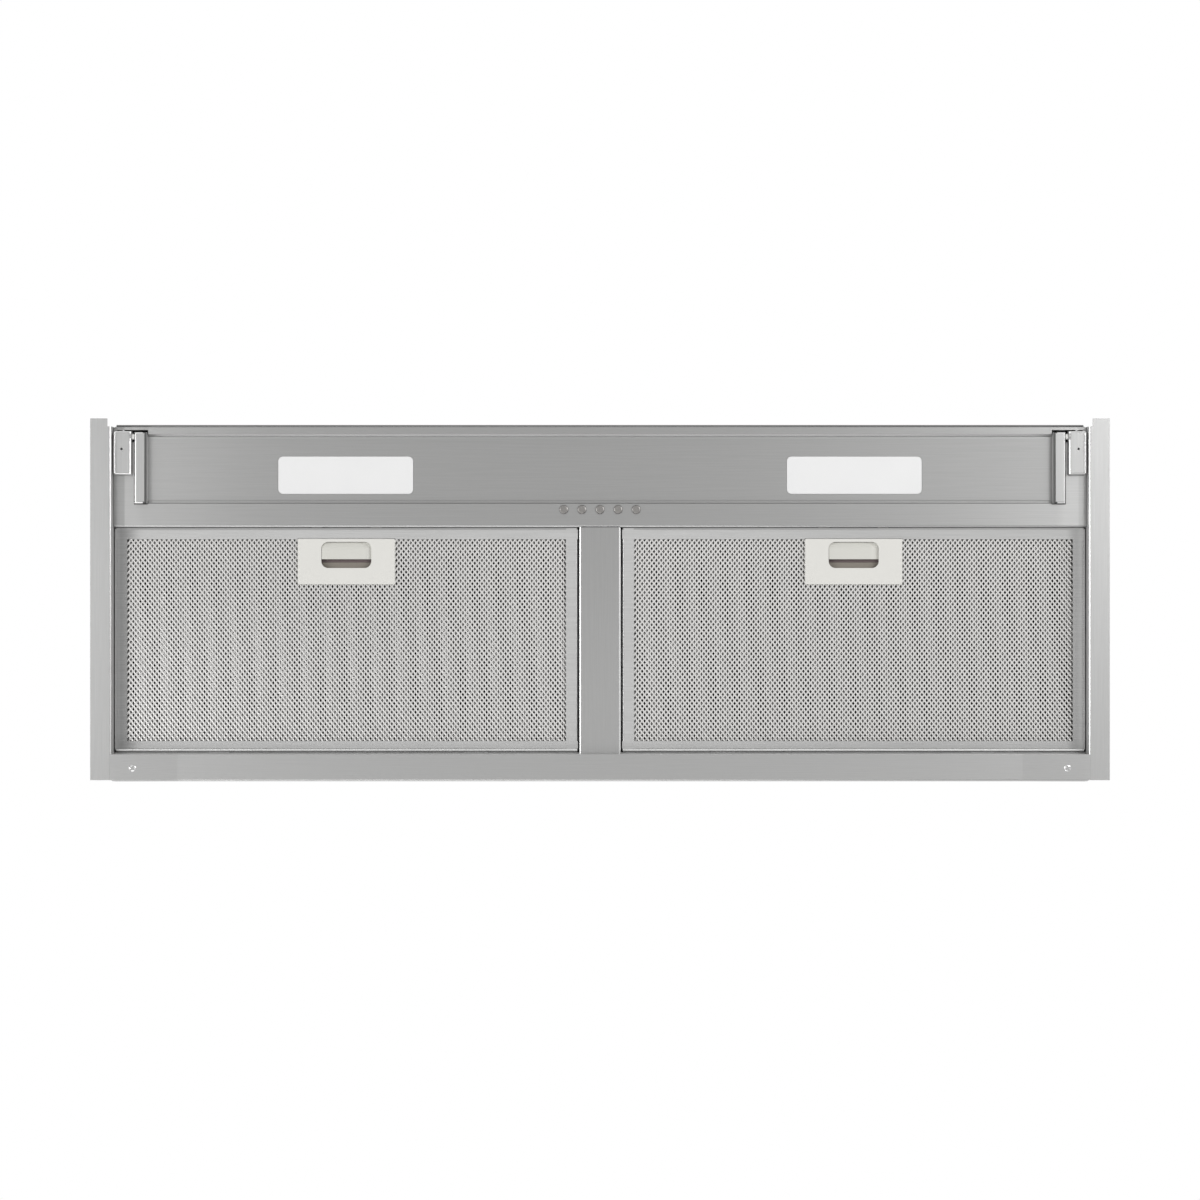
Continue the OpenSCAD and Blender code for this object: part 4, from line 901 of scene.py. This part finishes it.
# Body of rotation about base + normal, through (radius, height) pairs. They start and end on
# the axis, or for a hollow ring stay off it, and the last is joined to the first. sink gives
# the depth of a cut at a place counted from the axis
def turned(bm, base, normal, outline, steps=48, sink=None, hollow=False):
    base, normal = Vector(base), Vector(normal)
    first, second = square_axes(normal)
    rings = []
    for radius, height in outline:
        ring = []
        for k in range(1 if radius == 0 else steps):
            angle = tau * k / steps
            a, b = radius * cos(angle), radius * sin(angle)
            up = height - (sink(a, b) if sink else 0)
            ring.append(bm.verts.new(base + first * a + second * b + normal * up))
        rings.append(ring)
    if hollow:
        rings.append(rings[0])
    for a, b in zip(rings, rings[1:]):
        for k in range(steps):
            after = (k + 1) % steps
            corners = [a[k % len(a)], b[k % len(b)], b[after % len(b)], a[after % len(a)]]
            bm.faces.new(list(dict.fromkeys(corners)))


# How deep an added piece sits in the face under it
SUNK = 0.0002
# Cross recess in shares of the head: half width of a slot, reach, depth
RECESS = (0.16, 0.6, 0.5)
HEAD_RINGS = (0.14, 0.28, 0.4, 0.5, 0.6, 0.7, 0.8, 0.88, 0.95, 1.0)
# Share of the head's height that its upright rim has, the power of its crown, and the angle
# from which its edges stay sharp
HEAD_RIM = 0.2
HEAD_CROWN = 2.6
HEAD_ANGLE = 50


# Pan head with a cross recess, turned so that no two heads stand alike
def pan_head(bm, base, normal, radius, height, turn):
    half, reach, deep = radius * RECESS[0], radius * RECESS[1], height * RECESS[2]
    cosine, sine = cos(turn), sin(turn)

    def recess(a, b):
        a, b = abs(a * cosine - b * sine), abs(a * sine + b * cosine)
        return deep if min(a, b) < half and max(a, b) < reach else 0

    outline = [(0, height)]
    for share in HEAD_RINGS:
        crown = sqrt(max(0, 1 - share ** HEAD_CROWN))
        outline.append((radius * share, height * (HEAD_RIM + (1 - HEAD_RIM) * crown)))
    turned(bm, base, normal, outline + [(radius, -SUNK)], sink=recess)


# Screws of the rear strip: height of the head, radius of the shank, its root in the head,
# height and share of the radius of its point, its steps, and the left and right head's turn
SCREW_HEAD = 0.0021
SHANK = 0.0017
SHANK_ROOT = 0.0004
SHANK_POINT = (0.0008, 0.55)
SHANK_STEPS = 24
HEAD_TURNS = (0.6, 1.1)


# Pan head screws of the rear strip
def make_strip_screws():
    low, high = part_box("strip_screws")
    radius, middle = (high.y - low.y) / 2, (high.y + low.y) / 2
    seat = low.z + SCREW_HEAD
    length = high.z - low.z - SCREW_HEAD
    point, share = SHANK_POINT
    shank = [(0, -SHANK_ROOT), (SHANK, -SHANK_ROOT), (SHANK, length - point), (SHANK * share, length),
             (0, length)]
    bm = bmesh.new()
    for sign, turn in zip((-1, 1), HEAD_TURNS):
        x = sign * (high.x - radius)
        pan_head(bm, (x, middle, seat), (0, 0, -1), radius, SCREW_HEAD, turn)
        turned(bm, (x, middle, seat), (0, 0, 1), shank, SHANK_STEPS)
    piece = detail("strip_screw_pair", bm, "screw_steel", "screw_steel", HEAD_ANGLE)
    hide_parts("strip_screws")


# Angles, from a bead's end, of the stations along its round end
BEAD_ANGLES = (12, 30, 50, 70, 90)
BEAD_STEPS = 8


# Pressed stiffening bead: a long half-round ridge with round ends on a sheet's face
def bead(bm, start, end, normal, width=0.007, height=0.0015):
    start, end, normal = Vector(start), Vector(end), Vector(normal)
    along = (end - start).normalized()
    across = normal.cross(along)
    radius = width / 2
    length = (end - start).length
    stations = [radius * (1 - cos(radians(a))) for a in BEAD_ANGLES]
    stations += [length - place for place in reversed(stations)]
    rings = []
    for place in stations:
        near = max(0, 1 - min(place, length - place) / radius)
        share = sqrt(1 - near * near)
        ring = []
        for k in range(BEAD_STEPS + 1):
            angle = pi * k / BEAD_STEPS
            out = across * (radius * share * cos(angle))
            up = normal * (height * share * sin(angle) - SUNK)
            ring.append(bm.verts.new(start + along * place + out + up))
        rings.append(ring)
    join_rings(bm, rings)


# A hood piece from bm, with edges sharper than angle left sharp
def detail(name, bm, slot, material, angle=40, body="hood"):
    piece = link_piece(name, finish_mesh(name, bm), body, material)
    sharpen(piece.data, angle)
    return piece


def rectangle(first, opposite):
    (a, b), (c, d) = first, opposite
    return [(a, b), (c, b), (c, d), (a, d)]


# Width and thickness of the housing's laps
LAP = (0.018, 0.0008)
# Side flange at the foot of the housing, which its box takes in
FOOT_FLANGE = 0.012
# How far the laps stay off the tray, the roof's edge and the housing's ends
LAP_CLEARANCE = (0.0015, 0.0005, 0.001)
WELD = ((0, 0.00035), (0.0012, 0.0003), (0.0022, 0.0001), (0.0025, -0.0001), (0, -0.0001))
WELD_STEPS = 16
# Spot welds, on the side laps: first height, pitch, number; on the roof's: inset, number
SIDE_WELDS = (0.022, 0.035, 5)
ROOF_WELDS = (0.03, 8)
# Beads, front and rear: heights above the foot, inset; at the sides: heights, half length; on
# the roof: y, inner end, inset of the outer end
WALL_BEADS = ((0.040, 0.092, 0.144), 0.045)
SIDE_BEADS = ((0.066, 0.118), 0.088)
ROOF_BEADS = (0.095, 0.105, 0.03)


# Fan housing: laps of the front and rear sheets over the sides and the roof, with their spot
# welds, and stiffening beads
def make_housing_details():
    low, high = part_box("fan_housing")
    side = high.x - FOOT_FLANGE
    wide, thick = LAP
    above, under, inset = LAP_CLEARANCE
    inner, seam = high.y - wide, high.y - wide / 2
    laps, welds, beads = bmesh.new(), bmesh.new(), bmesh.new()
    for sign in (-1, 1):
        for end in (-1, 1):
            outline = rectangle((sign * (side - SUNK), end * inner), (sign * (side + thick), end * high.y))
            extrude_outline(laps, 2, outline, low.z + above, high.z - under)
            first, pitch, count = SIDE_WELDS
            for k in range(count):
                place = (sign * (side + thick), end * seam, low.z + first + k * pitch)
                turned(welds, place, (sign, 0, 0), WELD, WELD_STEPS)
    for end in (-1, 1):
        outline = rectangle((end * inner, high.z - SUNK), (end * high.y, high.z + thick))
        extrude_outline(laps, 0, outline, inset - side, side - inset)
        weld_inset, count = ROOF_WELDS
        for k in range(count):
            x = weld_inset - side + k * 2 * (side - weld_inset) / (count - 1)
            turned(welds, (x, end * seam, high.z + thick), (0, 0, 1), WELD, WELD_STEPS)
        heights, bead_inset = WALL_BEADS
        for z in heights:
            reach = side - bead_inset
            bead(beads, (-reach, end * high.y, low.z + z), (reach, end * high.y, low.z + z), (0, end, 0))
    for sign in (-1, 1):
        heights, half = SIDE_BEADS
        for z in heights:
            bead(beads, (sign * side, -half, low.z + z), (sign * side, half, low.z + z), (sign, 0, 0))
        row, start, bead_inset = ROOF_BEADS
        for y in (-row, row):
            bead(beads, (sign * (side - bead_inset), y, high.z), (sign * start, y, high.z), (0, 0, 1))
    detail("housing_laps", laps, "galvanised_sheet", "zinc_sheet")
    detail("housing_welds", welds, "galvanised_sheet", "zinc_sheet")
    detail("housing_beads", beads, "galvanised_sheet", "zinc_sheet")


SHEET = 0.001
RIVET = ((0, 0.0011), (0.0009, 0.00102), (0.0017, 0.0007), (0.0023, 0.0002), (0.0024, -0.0002), (0, -0.0002))
RIVET_STEPS = 20
# Rivets: inset and rows in y at the sides; inset, first x, pitch and number along the front
SIDE_RIVETS = (0.007, (-0.138, -0.046, 0.046, 0.138))
FRONT_RIVETS = (0.008, -0.4, 0.1, 9)
# Beads, width and height; on the top: inset of the ends, rows beside the control box and on its
# side; on the rear wall: heights, inner end, inset of the outer end
TOP_BEAD = (0.009, 0.0018)
REAR_BEAD = (0.007, 0.0016)
TOP_BEADS = (0.022, (-0.115, 0.115), (-0.038, 0.038))
REAR_BEADS = ((0.024, 0.041), 0.025, 0.035)
# Spot welds of the rear wall: first x, pitch, number, depth under the top
REAR_WELDS = (0.03, 0.0625, 7, 0.006)


# Tray: beads on the top plate and the rear wall, rivets that hold the side walls and the front
# panel, and spot welds of the rear wall
def make_tray_details():
    low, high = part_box("top_shell")
    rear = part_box("rear_ledges")[1].y + SHEET
    inset, outer_rows, left_rows = TOP_BEADS
    inner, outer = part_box("fan_housing")[1].x + inset, high.x - inset
    beads, rivets, welds = bmesh.new(), bmesh.new(), bmesh.new()
    for sign in (-1, 1):
        heights, first, rear_inset = REAR_BEADS
        for z in heights:
            end = sign * (high.x - rear_inset)
            bead(beads, (sign * first, rear, z), (end, rear, z), (0, 1, 0), *REAR_BEAD)
        first, pitch, count, depth = REAR_WELDS
        for k in range(count):
            place = (sign * (first + pitch * k), rear, high.z - depth)
            turned(welds, place, (0, 1, 0), WELD, WELD_STEPS)
        for y in outer_rows:
            bead(beads, (sign * inner, y, high.z), (sign * outer, y, high.z), (0, 0, 1), *TOP_BEAD)
        side_inset, rows = SIDE_RIVETS
        for y in rows:
            turned(rivets, (sign * (high.x - side_inset), y, high.z), (0, 0, 1), RIVET, RIVET_STEPS)
    for y in left_rows:
        bead(beads, (-inner, y, high.z), (-outer, y, high.z), (0, 0, 1), *TOP_BEAD)
    front_inset, first, pitch, count = FRONT_RIVETS
    for k in range(count):
        turned(rivets, (first + pitch * k, low.y + front_inset, high.z), (0, 0, 1), RIVET, RIVET_STEPS)
    detail("tray_beads", beads, "galvanised_sheet", "zinc_sheet")
    detail("tray_rivets", rivets, "screw_steel", "screw_steel")
    detail("tray_welds", welds, "galvanised_sheet", "zinc_sheet")


RIM_WIDTH = 0.009
# Snap rings: heights, how far they reach out, half height, depth of their back in the collar
SNAP_RINGS = ((0.0125, 0.0345), 0.0013, 0.002, 0.0006)
SNAP_STEPS = 8
RING_STEPS = 96
# Gussets: number, half thickness, depth in the collar, inset from the rim, foot, top
GUSSETS = (8, 0.001, 0.0003, 0.0015, 0.0018, 0.0095)
# Screws: number, place of the first, inset from the rim's edge, height of their seat, and how
# much further each head is turned than the one before
COLLAR_SCREWS = (4, 0.35, 0.0042, 0.002, 0.5)
# Radius and height of a small pan head
PAN_HEAD = (0.0031, 0.0019)


# Outlet collar: two snap rings, gussets on the rim and four screws
def make_collar_details():
    low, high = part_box("outlet_collar")
    base = ((low.x + high.x) / 2, (low.y + high.y) / 2, low.z)
    rim = (high.x - low.x) / 2
    radius = rim - RIM_WIDTH
    rings, screws = bmesh.new(), bmesh.new()
    heights, reach, half, back = SNAP_RINGS
    for z in heights:
        angles = [pi * k / SNAP_STEPS - pi / 2 for k in range(SNAP_STEPS + 1)]
        outline = [(radius - SUNK + reach * cos(a), z + half * sin(a)) for a in angles]
        outline = [(radius - back, outline[0][1])] + outline + [(radius - back, outline[-1][1])]
        turned(rings, base, (0, 0, 1), outline, RING_STEPS, hollow=True)
    count, half, back, inset, foot, top = GUSSETS
    corners = ((radius - back, foot), (rim - inset, foot), (radius - back, top))
    for k in range(count):
        angle = tau * (k + 0.5) / count
        out = Vector((cos(angle), sin(angle), 0))
        flank = Vector((-out.y, out.x, 0)) * half
        join_rings(rings, [[rings.verts.new(Vector(base) + out * r + Vector((0, 0, z)) + side)
                            for r, z in corners] for side in (flank, -flank)])
    count, first, inset, seat, turn = COLLAR_SCREWS
    for k in range(count):
        angle = tau * (k + 0.25) / count + first
        reach = rim - inset
        place = (base[0] + reach * cos(angle), base[1] + reach * sin(angle), low.z + seat)
        pan_head(screws, place, (0, 0, 1), *PAN_HEAD, turn * k)
    detail("collar_rings", rings, "grey_plastic", "grey_plastic")
    detail("collar_screws", screws, "screw_steel", "screw_steel", HEAD_ANGLE)


# Cover screws: inset, turn of the first head, and how much further each is turned
COVER_SCREWS = (0.009, 0.4, 0.7)
# Louvres: first y, pitch, number, inset of the ends, width, height
LOUVRES = (-0.020, 0.010, 5, 0.036, 0.0042, 0.0014)
# Knock-outs: places in y, depth under the cover, outline
KNOCK_OUTS = ((-0.024, 0.024), 0.022)
KNOCK_OUT = ((0, 0.0002), (0.0085, 0.0002), (0.009, 0.0008), (0.0098, 0.0008), (0.0103, -0.0001),
             (0, -0.0001))
KNOCK_OUT_STEPS = 40


# Control box: four cover screws, louvres between them and two knock-outs
def make_box_details():
    low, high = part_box("box_cover")
    inset, first, turn = COVER_SCREWS
    left, right, front, rear = low.x + inset, high.x - inset, low.y + inset, high.y - inset
    screws, plates = bmesh.new(), bmesh.new()
    for k, (x, y) in enumerate(((left, front), (right, front), (left, rear), (right, rear))):
        pan_head(screws, (x, y, high.z), (0, 0, 1), *PAN_HEAD, first + turn * k)
    first, pitch, count, inset, width, height = LOUVRES
    for k in range(count):
        y = first + pitch * k
        bead(plates, (low.x + inset, y, high.z), (high.x - inset, y, high.z), (0, 0, 1), width, height)
    places, depth = KNOCK_OUTS
    for y in places:
        turned(plates, (high.x, y, low.z - depth), (1, 0, 0), KNOCK_OUT, KNOCK_OUT_STEPS)
    detail("box_screws", screws, "screw_steel", "screw_steel", HEAD_ANGLE)
    detail("box_plates", plates, "galvanised_sheet", "zinc_sheet")


# Size, radius, overlap at the side, and inset of the front and rear end
BRACKET_FOLD = (0.0016, 0.0007, 0.0002, 0.001, 0.0012)


# Rolled outer edges of the hinge brackets, with the painted highlight of their steel along the bend
def make_bracket_folds():
    low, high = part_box("hinge_brackets")
    size, radius, overlap, front, rear = BRACKET_FOLD
    bm = bmesh.new()
    for sign in (-1, 1):
        outer = sign * (high.x + overlap)
        outline = round_outline((outer - sign * size, low.z - SKIN), (outer, low.z + size), radius)
        extrude_outline(bm, 1, outline, low.y + front, high.y - rear)
    detail("bracket_folds", bm, "brushed_steel", "steel_y")


# Smooth faces, with sharp edges where two of them meet at more than an angle
def sharpen(mesh, degrees):
    bm = bmesh.new()
    bm.from_mesh(mesh)
    for face in bm.faces:
        face.smooth = True
    for edge in bm.edges:
        edge.smooth = len(edge.link_faces) == 2 and edge.calc_face_angle(0) < radians(degrees)
    bm.to_mesh(mesh)
    bm.free()


make_camera()
make_world()
make_materials()
make_lights()
make_floor()
dress_nodes()
make_filter_meshes()
make_hems()
make_seal()
make_latch_guides()
make_latches()
make_strip_screws()
make_corner_fills()
make_bracket_folds()
make_housing_details()
make_tray_details()
make_collar_details()
make_box_details()

bpy.context.scene.view_settings.view_transform = "Standard"
